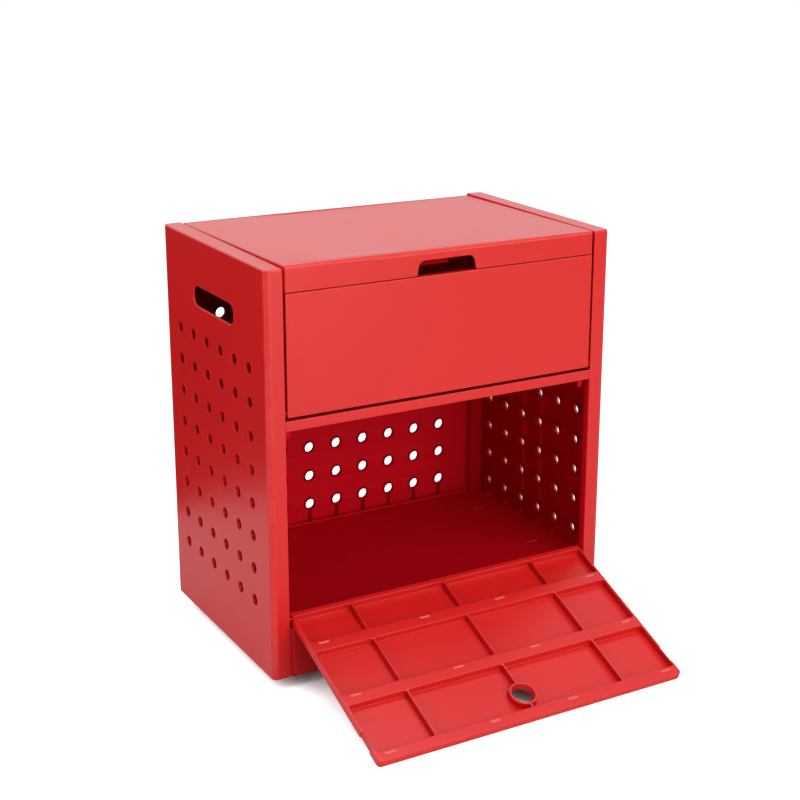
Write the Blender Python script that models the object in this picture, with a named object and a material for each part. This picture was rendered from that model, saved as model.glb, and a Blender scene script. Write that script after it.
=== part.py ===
# Tool cabinet in moulded plastic: two pegboard sides, a pegboard back, a lid and two drop-front doors.
# The front stands on the XZ plane of the cabinet's own empty, Z is up and X runs to the right.
# The lower door is shown as it is stored: hanging open, with its free edge resting on the ground.

import math

import bmesh
import bpy
from mathutils import Matrix, Vector

# Driving sizes of the whole cabinet, in metres
WIDTH = 0.432
DEPTH = 0.277
CABINET_HEIGHT = 0.4594
FOOT_HEIGHT = 0.0135
WALL = 0.003
TOUCH_GAP = 0.0003
OVERRUN = 0.004

# Side panels: a tray open to the inside, with a flange and a return lip all round
FLANGE_WIDTH = 0.0206
LIP_DEPTH = 0.010
LIP_THICKNESS = 0.003
CORNER_ROUNDING = 0.0066
EDGE_ROUNDING = 0.002

# Pegboard holes
PEG_PITCH = 0.038
PEG_DIAMETER = 0.013
PEG_FIRST_ROW_ABOVE_FLOOR = 0.0219
PEG_BACK_ROW_LIFT = 0.0016
PEG_SIDE_INSET = 0.0454
PEG_SIDE_MARGIN = 0.040
PEG_SLOT_MARGIN = 0.030
PEG_BACK_MARGIN = 0.030
ROUND_SIDES = 12

# Carrying slot in each side
CARRY_SLOT_LENGTH = 0.110
CARRY_SLOT_HEIGHT = 0.023
CARRY_SLOT_ROUNDING = 0.010
CARRY_SLOT_INSET = 0.082
CARRY_SLOT_BELOW_TOP = 0.0539
SLOT_SEGMENTS = 4

# Base with its floor, kick board and feet
FLOOR_RISE = 0.058
BEAD_RISE = 0.002
BASE_SIDE_GAP = 0.0027
BASE_REAR_INSET = 0.012
BASE_RIB = 0.0025
BASE_RIB_DEPTH = 0.012
FOOT_DIAMETER = 0.022
FOOT_STEM_DIAMETER = 0.008
FOOT_STEM_LENGTH = 0.026
FOOT_BOSS_DIAMETER = 0.018
FOOT_SIDE_INSET = 0.056
FOOT_FRONT_INSET = 0.040
FOOT_REAR_INSET = 0.042
PRESS_CLEARANCE = 0.0001

# Wings of the floor and the shelf, and the ledges that carry them
WING_INSET = 0.011
LEDGE_WIDTH = 0.008
LEDGE_THICKNESS = 0.0027
LEDGE_INSET = 0.020

# Middle shelf with its front rail
RAIL_HEIGHT = 0.0114
PLATE_ABOVE_RAIL_BOTTOM = 0.0052
CATCH_WIDTH = 0.006
CATCH_INSET = 0.0007
CATCH_DROP = 0.011
STOP_CLEARANCE = 0.0005

# Doors and lid
DOOR_THICKNESS = 0.0095
DOOR_SKIN = 0.0025
HINGE_INSET = 0.0045
LOWER_DOOR_HEIGHT = 0.218
LOWER_DOOR_SIDE_GAP = 0.0042
DOOR_FOOT_GAP = 0.0032
LOWER_DOOR_HEAD_GAP = 0.0029
UPPER_DOOR_FOOT_GAP = 0.0034
UPPER_DOOR_HEAD_GAP = 0.0008
FREE_EDGE_ROUNDING = 0.003
FREE_CORNER_ROUNDING = 0.0045
GROUND_CLEARANCE = 0.0003
DOOR_RIB = 0.003
DOOR_SIDE_RIM = 0.0035
DOOR_HINGE_RIM = 0.008
UPPER_DOOR_HEAD_RIM = 0.004
UPPER_DOOR_BAND = 0.012

# Ribs of the lower door, from its hinge edge outwards
LOWER_BAND_STARTS = (0.0473, 0.1255)
LOWER_BAND_WIDTHS = (0.0145, 0.015)
LOWER_FREE_RIM = 0.0128
LOWER_RIB_SPACING = 0.1193
FINGER_HOLE_DIAMETER = 0.026
FINGER_BOSS_DIAMETER = 0.0305
FINGER_HOLE_FROM_FREE_EDGE = 0.033
NOTCH_LENGTH = 0.020
NOTCH_DEPTH = 0.001
NOTCH_FROM_FREE_EDGE = 0.0205
GATE_SLOT_LENGTH = 0.014
GATE_SLOT_WIDTH = 0.003
GATE_SLOT_DEPTH = 0.0015
GATE_SLOT_FROM_BAND = 0.0039
GATE_SLOT_FROM_MIDDLE = 0.0495
GATE_SLOT_FROM_OUTER_RIB = 0.0555
FINGER_SIDES = 24

LID_DROP = 0.0021
LID_SKIRT_HEIGHT = 0.024
LID_SIDE_HEIGHT = 0.011
LID_REAR_GAP = 0.003
LID_FRONT_ROUNDING = 0.003
LID_PIVOT_FROM_REAR = 0.011
LID_PIVOT_BELOW_TOP = 0.0063
LID_RIB = 0.0025
LID_RIB_DEPTH = 0.003
LID_REAR_BAY = 0.013
LID_PIN_BLOCK = 0.0097
LID_SLOT_FOOT_HALF = 0.0373
LID_SLOT_HEAD_HALF = 0.028
LID_SLOT_HEIGHT = 0.0149
LID_SLOT_ROUNDING = 0.005
LID_BAYS_ACROSS = 4
LID_BAYS_DEEP = 2

# Hinge pins and the bosses that take the lid's pins
PIN_DIAMETER = 0.004
PIN_CLEARANCE = 0.0003
PIN_GRIP = 0.008
PIN_END_PLAY = 0.001
LID_BOSS_REACH = 0.0046
LID_BOSS_SIZE = 0.017
LID_BOSS_DROP = 0.010
UPPER_STOP_OVERLAP = 0.003
UPPER_STOP_HEIGHT = 0.015
UPPER_STOP_BELOW_HEAD = 0.0065

# Back panel
BACK_FACE_INSET = 0.004
BACK_TOP_GAP = 0.0175
BACK_FOOT_BELOW_FLOOR = 0.009
BACK_FOOT_STEP = 0.0012
BACK_STEP_ABOVE_FLOOR = 0.004
GROOVE_WIDTH = 0.002
GROOVE_DEPTH = 0.001

# Levels and places that follow from the sizes above
HALF_WIDTH = WIDTH / 2
CABINET_BOTTOM = FOOT_HEIGHT
SIDE_TOP = CABINET_BOTTOM + CABINET_HEIGHT
FLOOR_TOP = CABINET_BOTTOM + FLOOR_RISE
KICK_TOP = FLOOR_TOP + BEAD_RISE
LIP_X = HALF_WIDTH - FLANGE_WIDTH
LIP_BACK_X = LIP_X + LIP_THICKNESS
SKIN_X = HALF_WIDTH - WALL
BASE_X = LIP_X - BASE_SIDE_GAP
WING_X = SKIN_X - TOUCH_GAP
WING_REAR_Y = DEPTH - WING_INSET
BASE_REAR_Y = DEPTH - BASE_REAR_INSET
PANEL_X = LIP_X - TOUCH_GAP
FOOT_X = HALF_WIDTH - FOOT_SIDE_INSET

LOWER_DOOR_X = LIP_X - LOWER_DOOR_SIDE_GAP
UPPER_DOOR_X = LIP_X - BASE_SIDE_GAP
LOWER_DOOR_FOOT = KICK_TOP + DOOR_FOOT_GAP
RAIL_BOTTOM = LOWER_DOOR_FOOT + LOWER_DOOR_HEIGHT + LOWER_DOOR_HEAD_GAP
RAIL_TOP = RAIL_BOTTOM + RAIL_HEIGHT
SHELF_BOTTOM = RAIL_BOTTOM + PLATE_ABOVE_RAIL_BOTTOM
SHELF_TOP = SHELF_BOTTOM + WALL
LID_TOP = SIDE_TOP - LID_DROP
LID_SKIRT_BOTTOM = LID_TOP - LID_SKIRT_HEIGHT
UPPER_DOOR_FOOT = RAIL_TOP + UPPER_DOOR_FOOT_GAP
UPPER_DOOR_HEAD = LID_SKIRT_BOTTOM - UPPER_DOOR_HEAD_GAP

DOOR_PIVOT_Y = DOOR_THICKNESS / 2
LOWER_PIVOT_Z = LOWER_DOOR_FOOT + HINGE_INSET
UPPER_PIVOT_Z = UPPER_DOOR_FOOT + HINGE_INSET
LID_PIVOT_Y = DEPTH - LID_PIVOT_FROM_REAR
LID_PIVOT_Z = LID_TOP - LID_PIVOT_BELOW_TOP
LID_REAR_Y = DEPTH - LID_REAR_GAP

BACK_FACE_Y = DEPTH - WALL - BACK_FACE_INSET
BACK_REAR_Y = BACK_FACE_Y + WALL
BACK_TOP = LID_TOP - BACK_TOP_GAP
CARRY_SLOT_TOP = SIDE_TOP - CARRY_SLOT_BELOW_TOP
PEG_SIDE_FIRST_Z = FLOOR_TOP + PEG_FIRST_ROW_ABOVE_FLOOR
PEG_BACK_FIRST_Z = PEG_SIDE_FIRST_Z + PEG_BACK_ROW_LIFT


def resting_angle():
    """Angle from closed at which the lower door's outer free edge comes down to the ground."""
    reach = LOWER_DOOR_HEIGHT - HINGE_INSET - FREE_EDGE_ROUNDING
    offset = FREE_EDGE_ROUNDING - DOOR_PIVOT_Y
    drop = LOWER_PIVOT_Z - FREE_EDGE_ROUNDING - GROUND_CLEARANCE
    return math.atan2(offset, reach) + math.acos(-drop / math.hypot(offset, reach))


DOOR_ANGLE = resting_angle()
DOOR_LENGTH = LOWER_DOOR_HEIGHT - HINGE_INSET
DOOR_TIP_Y = DOOR_PIVOT_Y + DOOR_PIVOT_Y * math.cos(DOOR_ANGLE) - DOOR_LENGTH * math.sin(DOOR_ANGLE)
FRONT_Y = -(DEPTH + DOOR_TIP_Y) / 2

SHELL_RED = (0.56, 0.022, 0.024, 1.0)
SHELL_ROUGHNESS = 0.38
FOOT_GREY = (0.03, 0.03, 0.032, 1.0)
FOOT_ROUGHNESS = 0.75

# Share of the way from a hollow to a full corner at which a rounded edge is a true arc
ARC_SHARE = 0.5


def clear_scene():
    for item in list(bpy.data.objects):
        bpy.data.objects.remove(item, do_unlink=True)


clear_scene()
PARTS = bpy.data.collections.new("tool_cabinet")
TOOLS = bpy.data.collections.new("cutters")
bpy.context.scene.collection.children.link(PARTS)
bpy.context.scene.collection.children.link(TOOLS)


def empty(name, parent, location, angle=0.0):
    """An empty that carries pieces: the cabinet's own frame, or a hinge axis."""
    frame = bpy.data.objects.new(name, None)
    frame.location = location
    frame.rotation_euler = (angle, 0, 0)
    frame.parent = parent
    TOOLS.objects.link(frame)
    return frame


CABINET = empty("cabinet_frame", None, (0, FRONT_Y, 0))


def finish(name, colour, roughness):
    material = bpy.data.materials.new(name)
    material.use_nodes = True
    surface = material.node_tree.nodes["Principled BSDF"]
    surface.inputs["Base Color"].default_value = colour
    surface.inputs["Roughness"].default_value = roughness
    surface.inputs["Metallic"].default_value = 0.0
    material.diffuse_color = colour
    return material


def place(name, shape, frame, colour=SHELL_RED, roughness=SHELL_ROUGHNESS):
    """Turn a bmesh into a named piece with its own material."""
    mesh = bpy.data.meshes.new(name)
    shape.to_mesh(mesh)
    shape.free()
    piece = bpy.data.objects.new(name, mesh)
    mesh.materials.append(finish(name, colour, roughness))
    piece.parent = frame
    PARTS.objects.link(piece)
    return piece


def tool(name, shape, frame):
    """Turn a bmesh into a cutter or an added form, which is not a piece by itself."""
    mesh = bpy.data.meshes.new(name)
    shape.to_mesh(mesh)
    shape.free()
    cutter = bpy.data.objects.new(name, mesh)
    cutter.parent = frame
    cutter.hide_render = True
    cutter.display_type = "WIRE"
    TOOLS.objects.link(cutter)
    return cutter


def boolean(piece, label, shape, operation):
    modifier = piece.modifiers.new(label, "BOOLEAN")
    modifier.operation = operation
    modifier.solver = "EXACT"
    modifier.object = tool(piece.name + "_" + label, shape, piece.parent)


def cut(piece, label, shape):
    boolean(piece, label, shape, "DIFFERENCE")


def join(piece, label, shape):
    boolean(piece, label, shape, "UNION")


def add_block(shape, low, high):
    """A box between two corners; gives back its new points."""
    low = Vector(low)
    high = Vector(high)
    size = Matrix.Diagonal((high - low).to_4d())
    size[3][3] = 1
    matrix = Matrix.Translation((low + high) / 2) @ size
    return bmesh.ops.create_cube(shape, size=1, matrix=matrix)["verts"]


def block(low, high):
    shape = bmesh.new()
    add_block(shape, low, high)
    return shape


def blocks(corners):
    shape = bmesh.new()
    for low, high in corners:
        add_block(shape, low, high)
    return shape


def mirrored_blocks(low, high):
    """The same box on the left and on the right, given by its right-hand corners."""
    left_low = (-high[0], low[1], low[2])
    left_high = (-low[0], high[1], high[2])
    return blocks([(low, high), (left_low, left_high)])


def round_edges(shape, picks, radius, segments):
    """Round the edges that the given test picks by their two end points."""
    edges = [edge for edge in shape.edges if picks(edge.verts[0].co, edge.verts[1].co)]
    bmesh.ops.bevel(shape, geom=edges, offset=radius, segments=segments, profile=ARC_SHARE,
                    affect="EDGES")
    return shape


def along(axis):
    """Test for edges that run along one axis (0, 1 or 2)."""
    others = [index for index in range(3) if index != axis]
    return lambda a, b: all(math.isclose(a[i], b[i], abs_tol=TOUCH_GAP) for i in others)


def add_drum(shape, axis, centre, diameter, length, sides):
    """A cylinder along X, Y or Z, with a flat of its outline at the top."""
    turn = {"X": Matrix.Rotation(math.pi / 2, 4, "Y"), "Y": Matrix.Rotation(math.pi / 2, 4, "X")}
    matrix = Matrix.Translation(centre) @ turn.get(axis, Matrix.Identity(4))
    matrix = matrix @ Matrix.Rotation(math.pi / sides, 4, "Z")
    bmesh.ops.create_cone(shape, cap_ends=True, segments=sides, radius1=diameter / 2,
                          radius2=diameter / 2, depth=length, matrix=matrix)


def drums(axis, centres, diameter, length, sides):
    shape = bmesh.new()
    for centre in centres:
        add_drum(shape, axis, centre, diameter, length, sides)
    return shape


def between(low, high):
    """Middle and length of a span that a drill or a pin covers."""
    return (low + high) / 2, abs(high - low)


def steps(first, last, pitch):
    """Places from first, one pitch apart, as long as they stay below last."""
    count = int((last - first) / pitch) + 1
    return [first + index * pitch for index in range(count)]


def side_panel(name, side):
    """One pegboard side: a tray with its open mouth to the inside, side is -1 or +1."""
    top = SIDE_TOP
    foot = CABINET_BOTTOM

    def span(inner, outer, y0, y1, z0, z1):
        xs = sorted((side * inner, side * outer))
        return (xs[0], y0, z0), (xs[1], y1, z1)

    shape = block(*span(LIP_X, HALF_WIDTH, 0, DEPTH, foot, top))
    outer = side * HALF_WIDTH
    upright = along(2)
    round_edges(shape, lambda a, b: upright(a, b) and math.isclose(a.x, outer, abs_tol=TOUCH_GAP),
                CORNER_ROUNDING, 3)
    level = (foot, top)
    round_edges(shape, lambda a, b: any(math.isclose(a.z, z, abs_tol=TOUCH_GAP)
                                        and math.isclose(b.z, z, abs_tol=TOUCH_GAP) for z in level)
                and abs(a.x + b.x) / 2 > LIP_X + TOUCH_GAP, EDGE_ROUNDING, 1)
    panel = place(name, shape, CABINET)

    cut(panel, "hollow", block(*span(LIP_BACK_X, SKIN_X, WALL, DEPTH - WALL, foot + WALL, top - WALL)))
    cut(panel, "mouth", block(*span(LIP_X - OVERRUN, LIP_BACK_X + TOUCH_GAP, LIP_DEPTH, DEPTH - LIP_DEPTH,
                                    foot + LIP_DEPTH, top - LIP_DEPTH)))

    holes = []
    for y in steps(PEG_SIDE_INSET, DEPTH - PEG_SIDE_MARGIN, PEG_PITCH):
        for z in steps(PEG_SIDE_FIRST_Z, CARRY_SLOT_TOP - CARRY_SLOT_HEIGHT - PEG_SLOT_MARGIN, PEG_PITCH):
            holes.append((side * (SKIN_X + HALF_WIDTH) / 2, y, z))
    cut(panel, "pegs", drums("X", holes, PEG_DIAMETER, WALL + 2 * OVERRUN, ROUND_SIDES))

    slot = block(*span(SKIN_X - OVERRUN, HALF_WIDTH + OVERRUN, CARRY_SLOT_INSET,
                       CARRY_SLOT_INSET + CARRY_SLOT_LENGTH, CARRY_SLOT_TOP - CARRY_SLOT_HEIGHT,
                       CARRY_SLOT_TOP))
    cut(panel, "carry", round_edges(slot, along(0), CARRY_SLOT_ROUNDING, SLOT_SEGMENTS))

    ledges = []
    for under in (FLOOR_TOP - WALL - TOUCH_GAP, SHELF_BOTTOM - TOUCH_GAP):
        ledges.append(span(SKIN_X - LEDGE_WIDTH, SKIN_X + WALL / 2, LEDGE_INSET, DEPTH - LEDGE_INSET,
                           under - LEDGE_THICKNESS, under))
    join(panel, "ledges", blocks(ledges))

    half = LID_BOSS_SIZE / 2
    boss_y = LID_PIVOT_Y - LID_BOSS_DROP + LID_BOSS_SIZE
    boss = span(LIP_X, LIP_BACK_X + LID_BOSS_REACH, LID_PIVOT_Y - LID_BOSS_DROP, boss_y,
                LID_PIVOT_Z - LID_BOSS_DROP, top - WALL / 2)
    join(panel, "lid_boss", block(*boss))

    stop_z = UPPER_DOOR_HEAD - UPPER_STOP_BELOW_HEAD
    stop_y = DOOR_THICKNESS + STOP_CLEARANCE
    root = span(LIP_X + TOUCH_GAP, LIP_BACK_X + WALL / 2, LIP_DEPTH - WALL, stop_y + WALL,
                stop_z - UPPER_STOP_HEIGHT, stop_z)
    join(panel, "stop_root", block(*root))
    stop = span(UPPER_DOOR_X - UPPER_STOP_OVERLAP, LIP_BACK_X, stop_y, stop_y + WALL,
                stop_z - UPPER_STOP_HEIGHT, stop_z)
    join(panel, "door_stop", block(*stop))

    middle, length = between(LIP_X - OVERRUN, LIP_BACK_X + LID_BOSS_REACH + OVERRUN)
    axes = [(DOOR_PIVOT_Y, LOWER_PIVOT_Z), (DOOR_PIVOT_Y, UPPER_PIVOT_Z), (LID_PIVOT_Y, LID_PIVOT_Z)]
    pins = [(side * middle, y, z) for y, z in axes]
    cut(panel, "pins", drums("X", pins, PIN_DIAMETER + 2 * PIN_CLEARANCE, length, ROUND_SIDES))
    return panel


def back_panel():
    """The pegboard back, standing between the rear lips of the two sides."""
    foot = FLOOR_TOP - BACK_FOOT_BELOW_FLOOR
    panel = place("back_panel", block((-PANEL_X, BACK_FACE_Y, foot), (PANEL_X, BACK_REAR_Y, BACK_TOP)), CABINET)
    step_top = FLOOR_TOP + BACK_STEP_ABOVE_FLOOR
    cut(panel, "step", block((-PANEL_X - OVERRUN, BACK_FACE_Y - OVERRUN, foot - OVERRUN),
                             (PANEL_X + OVERRUN, BACK_FACE_Y + BACK_FOOT_STEP, step_top)))
    half_count = int((PANEL_X - PEG_BACK_MARGIN) / PEG_PITCH)
    columns = [index * PEG_PITCH for index in range(-half_count, half_count + 1)]
    rows = steps(PEG_BACK_FIRST_Z, CARRY_SLOT_TOP - CARRY_SLOT_HEIGHT - PEG_SLOT_MARGIN, PEG_PITCH)
    middle, length = between(BACK_FACE_Y - OVERRUN, BACK_REAR_Y + OVERRUN)
    holes = [(x, middle, z) for x in columns for z in rows]
    cut(panel, "pegs", drums("Y", holes, PEG_DIAMETER, length, ROUND_SIDES))
    grooves = [((x - GROOVE_WIDTH / 2, BACK_FACE_Y - OVERRUN, step_top - OVERRUN),
                (x + GROOVE_WIDTH / 2, BACK_FACE_Y + GROOVE_DEPTH, rows[0])) for x in columns]
    cut(panel, "grooves", blocks(grooves))
    return panel


def foot_places():
    return [(side * FOOT_X, y) for side in (-1, 1) for y in (FOOT_FRONT_INSET, DEPTH - FOOT_REAR_INSET)]


def base():
    """Floor, kick board and walls in one moulding, ribbed underneath, with four bosses for the feet."""
    plate_bottom = FLOOR_TOP - WALL
    tray = place("base", block((-BASE_X, 0, CABINET_BOTTOM), (BASE_X, BASE_REAR_Y, KICK_TOP)), CABINET)
    cut(tray, "floor", block((-BASE_X - OVERRUN, WALL, FLOOR_TOP),
                             (BASE_X + OVERRUN, BASE_REAR_Y - WALL, KICK_TOP + OVERRUN)))
    rib_foot = plate_bottom - BASE_RIB_DEPTH
    cut(tray, "underside", block((WALL - BASE_X, WALL, CABINET_BOTTOM - OVERRUN),
                                 (BASE_X - WALL, BASE_REAR_Y - WALL, rib_foot)))
    half = BASE_RIB / 2
    y_edges = [WALL - half, FOOT_FRONT_INSET, DEPTH - FOOT_REAR_INSET, BASE_REAR_Y - WALL + half]
    bays = [((WALL - BASE_X, y0 + half, rib_foot - OVERRUN), (BASE_X - WALL, y1 - half, plate_bottom))
            for y0, y1 in zip(y_edges, y_edges[1:])]
    cut(tray, "bays", blocks(bays))
    join(tray, "wings", mirrored_blocks((BASE_X - WALL / 2, WING_INSET, plate_bottom),
                                        (WING_X, WING_REAR_Y - BASE_RIB, FLOOR_TOP)))
    middle, length = between(CABINET_BOTTOM + TOUCH_GAP, plate_bottom + WALL / 2)
    bosses = [(x, y, middle) for x, y in foot_places()]
    join(tray, "foot_bosses", drums("Z", bosses, FOOT_BOSS_DIAMETER, length, ROUND_SIDES))
    middle, length = between(CABINET_BOTTOM - OVERRUN, CABINET_BOTTOM + FOOT_STEM_LENGTH + PIN_END_PLAY)
    bores = [(x, y, middle) for x, y in foot_places()]
    bore = FOOT_STEM_DIAMETER + 2 * PRESS_CLEARANCE
    cut(tray, "foot_bores", drums("Z", bores, bore, length, ROUND_SIDES))
    return tray


def foot(name, x, y):
    """A round foot with a stem that presses up into the base."""
    middle, length = between(0, FOOT_HEIGHT)
    piece = place(name, drums("Z", [(x, y, middle)], FOOT_DIAMETER, length, FINGER_SIDES), CABINET,
                  FOOT_GREY, FOOT_ROUGHNESS)
    middle, length = between(FOOT_HEIGHT / 2, FOOT_HEIGHT + FOOT_STEM_LENGTH)
    join(piece, "stem", drums("Z", [(x, y, middle)], FOOT_STEM_DIAMETER, length, ROUND_SIDES))
    return piece


def middle_shelf():
    """Shelf plate with a front rail, wings into the sides and two catches for the lower door."""
    rear = BACK_FACE_Y - TOUCH_GAP
    shelf = place("middle_shelf", block((-PANEL_X, 0, RAIL_BOTTOM), (PANEL_X, rear, RAIL_TOP)), CABINET)
    cut(shelf, "below", block((-PANEL_X - OVERRUN, WALL, RAIL_BOTTOM - OVERRUN),
                              (PANEL_X + OVERRUN, rear + OVERRUN, SHELF_BOTTOM)))
    cut(shelf, "above", block((-PANEL_X - OVERRUN, WALL, SHELF_TOP),
                              (PANEL_X + OVERRUN, rear + OVERRUN, RAIL_TOP + OVERRUN)))
    join(shelf, "wings", mirrored_blocks((PANEL_X - WALL / 2, WING_INSET, SHELF_BOTTOM),
                                         (WING_X, WING_REAR_Y, SHELF_TOP)))
    catch_y = DOOR_THICKNESS + STOP_CLEARANCE
    catch_x = UPPER_DOOR_X - CATCH_INSET
    join(shelf, "catches", mirrored_blocks((catch_x - CATCH_WIDTH, catch_y, RAIL_BOTTOM - CATCH_DROP),
                                           (catch_x, catch_y + WALL, SHELF_BOTTOM + WALL / 2)))
    return shelf


def pin_holes(half_width):
    """Blind holes for the two hinge pins of a leaf whose hinge axis is its own origin."""
    middle, length = between(half_width - PIN_GRIP - TOUCH_GAP, half_width + OVERRUN)
    centres = [(side * middle, 0, 0) for side in (-1, 1)]
    return drums("X", centres, PIN_DIAMETER + 2 * PRESS_CLEARANCE, length, ROUND_SIDES)


def hinge_pins(name, axis, half_width):
    """The left and the right pin of one leaf, held in the leaf and turning in the side panels."""
    middle, length = between(half_width - PIN_GRIP, LIP_BACK_X + PIN_END_PLAY)
    for word, side in (("left", -1), ("right", 1)):
        shape = drums("X", [(side * middle, 0, 0)], PIN_DIAMETER, length, ROUND_SIDES)
        place(name + "_pin_" + word, shape, axis)


def upper_door():
    """Drop-front door of the upper compartment: a flat skin with a rim and ribs on its inner face."""
    axis = empty("upper_door_axis", CABINET, (0, DOOR_PIVOT_Y, UPPER_PIVOT_Z))
    front = -DOOR_PIVOT_Y
    inside = front + DOOR_THICKNESS
    foot = -HINGE_INSET
    head = UPPER_DOOR_HEAD - UPPER_PIVOT_Z
    door = place("upper_door", block((-UPPER_DOOR_X, front, foot), (UPPER_DOOR_X, inside, head)), axis)
    low = foot + DOOR_HINGE_RIM
    high = head - UPPER_DOOR_HEAD_RIM
    band = (low + high - UPPER_DOOR_BAND) / 2
    edge = UPPER_DOOR_X - DOOR_SIDE_RIM
    ribs = [-LOWER_RIB_SPACING, 0, LOWER_RIB_SPACING]
    x_edges = [-edge - DOOR_RIB / 2] + ribs + [edge + DOOR_RIB / 2]
    bays = []
    for x0, x1 in zip(x_edges, x_edges[1:]):
        for z0, z1 in ((low, band), (band + UPPER_DOOR_BAND, high)):
            bays.append(((x0 + DOOR_RIB / 2, front + DOOR_SKIN, z0), (x1 - DOOR_RIB / 2, inside + OVERRUN, z1)))
    cut(door, "bays", blocks(bays))
    cut(door, "pin_holes", pin_holes(UPPER_DOOR_X))
    hinge_pins("upper_door", axis, UPPER_DOOR_X)
    return door


def lower_door():
    """Drop-front door of the lower compartment, with cross bands, ribs and a finger hole."""
    axis = empty("lower_door_axis", CABINET, (0, DOOR_PIVOT_Y, LOWER_PIVOT_Z), DOOR_ANGLE)
    front = -DOOR_PIVOT_Y
    inside = front + DOOR_THICKNESS
    foot = -HINGE_INSET
    head = foot + LOWER_DOOR_HEIGHT
    shape = block((-LOWER_DOOR_X, front, foot), (LOWER_DOOR_X, inside, head))
    across = along(1)
    round_edges(shape, lambda a, b: across(a, b) and a.z > 0, FREE_CORNER_ROUNDING, 3)
    corner_foot = head - FREE_CORNER_ROUNDING - TOUCH_GAP
    round_edges(shape, lambda a, b: min(a.z, b.z) > corner_foot and max(a.y, b.y) < 0,
                FREE_EDGE_ROUNDING, 3)
    door = place("lower_door", shape, axis)

    edge = LOWER_DOOR_X - DOOR_SIDE_RIM
    half = DOOR_RIB / 2
    ribs = [-LOWER_RIB_SPACING, 0, LOWER_RIB_SPACING]
    x_edges = [-edge - half] + ribs + [edge + half]
    starts = [DOOR_HINGE_RIM] + [start + width for start, width in zip(LOWER_BAND_STARTS, LOWER_BAND_WIDTHS)]
    ends = list(LOWER_BAND_STARTS) + [LOWER_DOOR_HEIGHT - LOWER_FREE_RIM]
    bays = []
    for x0, x1 in zip(x_edges, x_edges[1:]):
        for start, end in zip(starts, ends):
            bays.append(((x0 + half, front + DOOR_SKIN, foot + start), (x1 - half, inside + OVERRUN, foot + end)))
    cut(door, "bays", blocks(bays))

    hole_z = head - FINGER_HOLE_FROM_FREE_EDGE
    middle, length = between(front + DOOR_SKIN / 2, inside)
    join(door, "finger_boss", drums("Y", [(0, middle, hole_z)], FINGER_BOSS_DIAMETER, length, FINGER_SIDES))
    cut(door, "finger_hole", drums("Y", [(0, 0, hole_z)], FINGER_HOLE_DIAMETER, DOOR_THICKNESS + 2 * OVERRUN,
                                   FINGER_SIDES))

    notch_z = head - NOTCH_FROM_FREE_EDGE
    cut(door, "notches", mirrored_blocks((LOWER_DOOR_X - NOTCH_DEPTH, front - OVERRUN, notch_z - NOTCH_LENGTH),
                                         (LOWER_DOOR_X + OVERRUN, inside + OVERRUN, notch_z)))

    slots = []
    inner, outer = GATE_SLOT_FROM_MIDDLE, LOWER_RIB_SPACING + GATE_SLOT_FROM_OUTER_RIB
    for band in list(LOWER_BAND_STARTS) + [LOWER_DOOR_HEIGHT - LOWER_FREE_RIM]:
        z = foot + band + GATE_SLOT_FROM_BAND
        for x in (-outer, -inner, inner, outer):
            slots.append(((x - GATE_SLOT_LENGTH / 2, inside - GATE_SLOT_DEPTH, z - GATE_SLOT_WIDTH / 2),
                          (x + GATE_SLOT_LENGTH / 2, inside + OVERRUN, z + GATE_SLOT_WIDTH / 2)))
    cut(door, "gate_slots", blocks(slots))
    cut(door, "pin_holes", pin_holes(LOWER_DOOR_X))
    hinge_pins("lower_door", axis, LOWER_DOOR_X)
    return door


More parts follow.
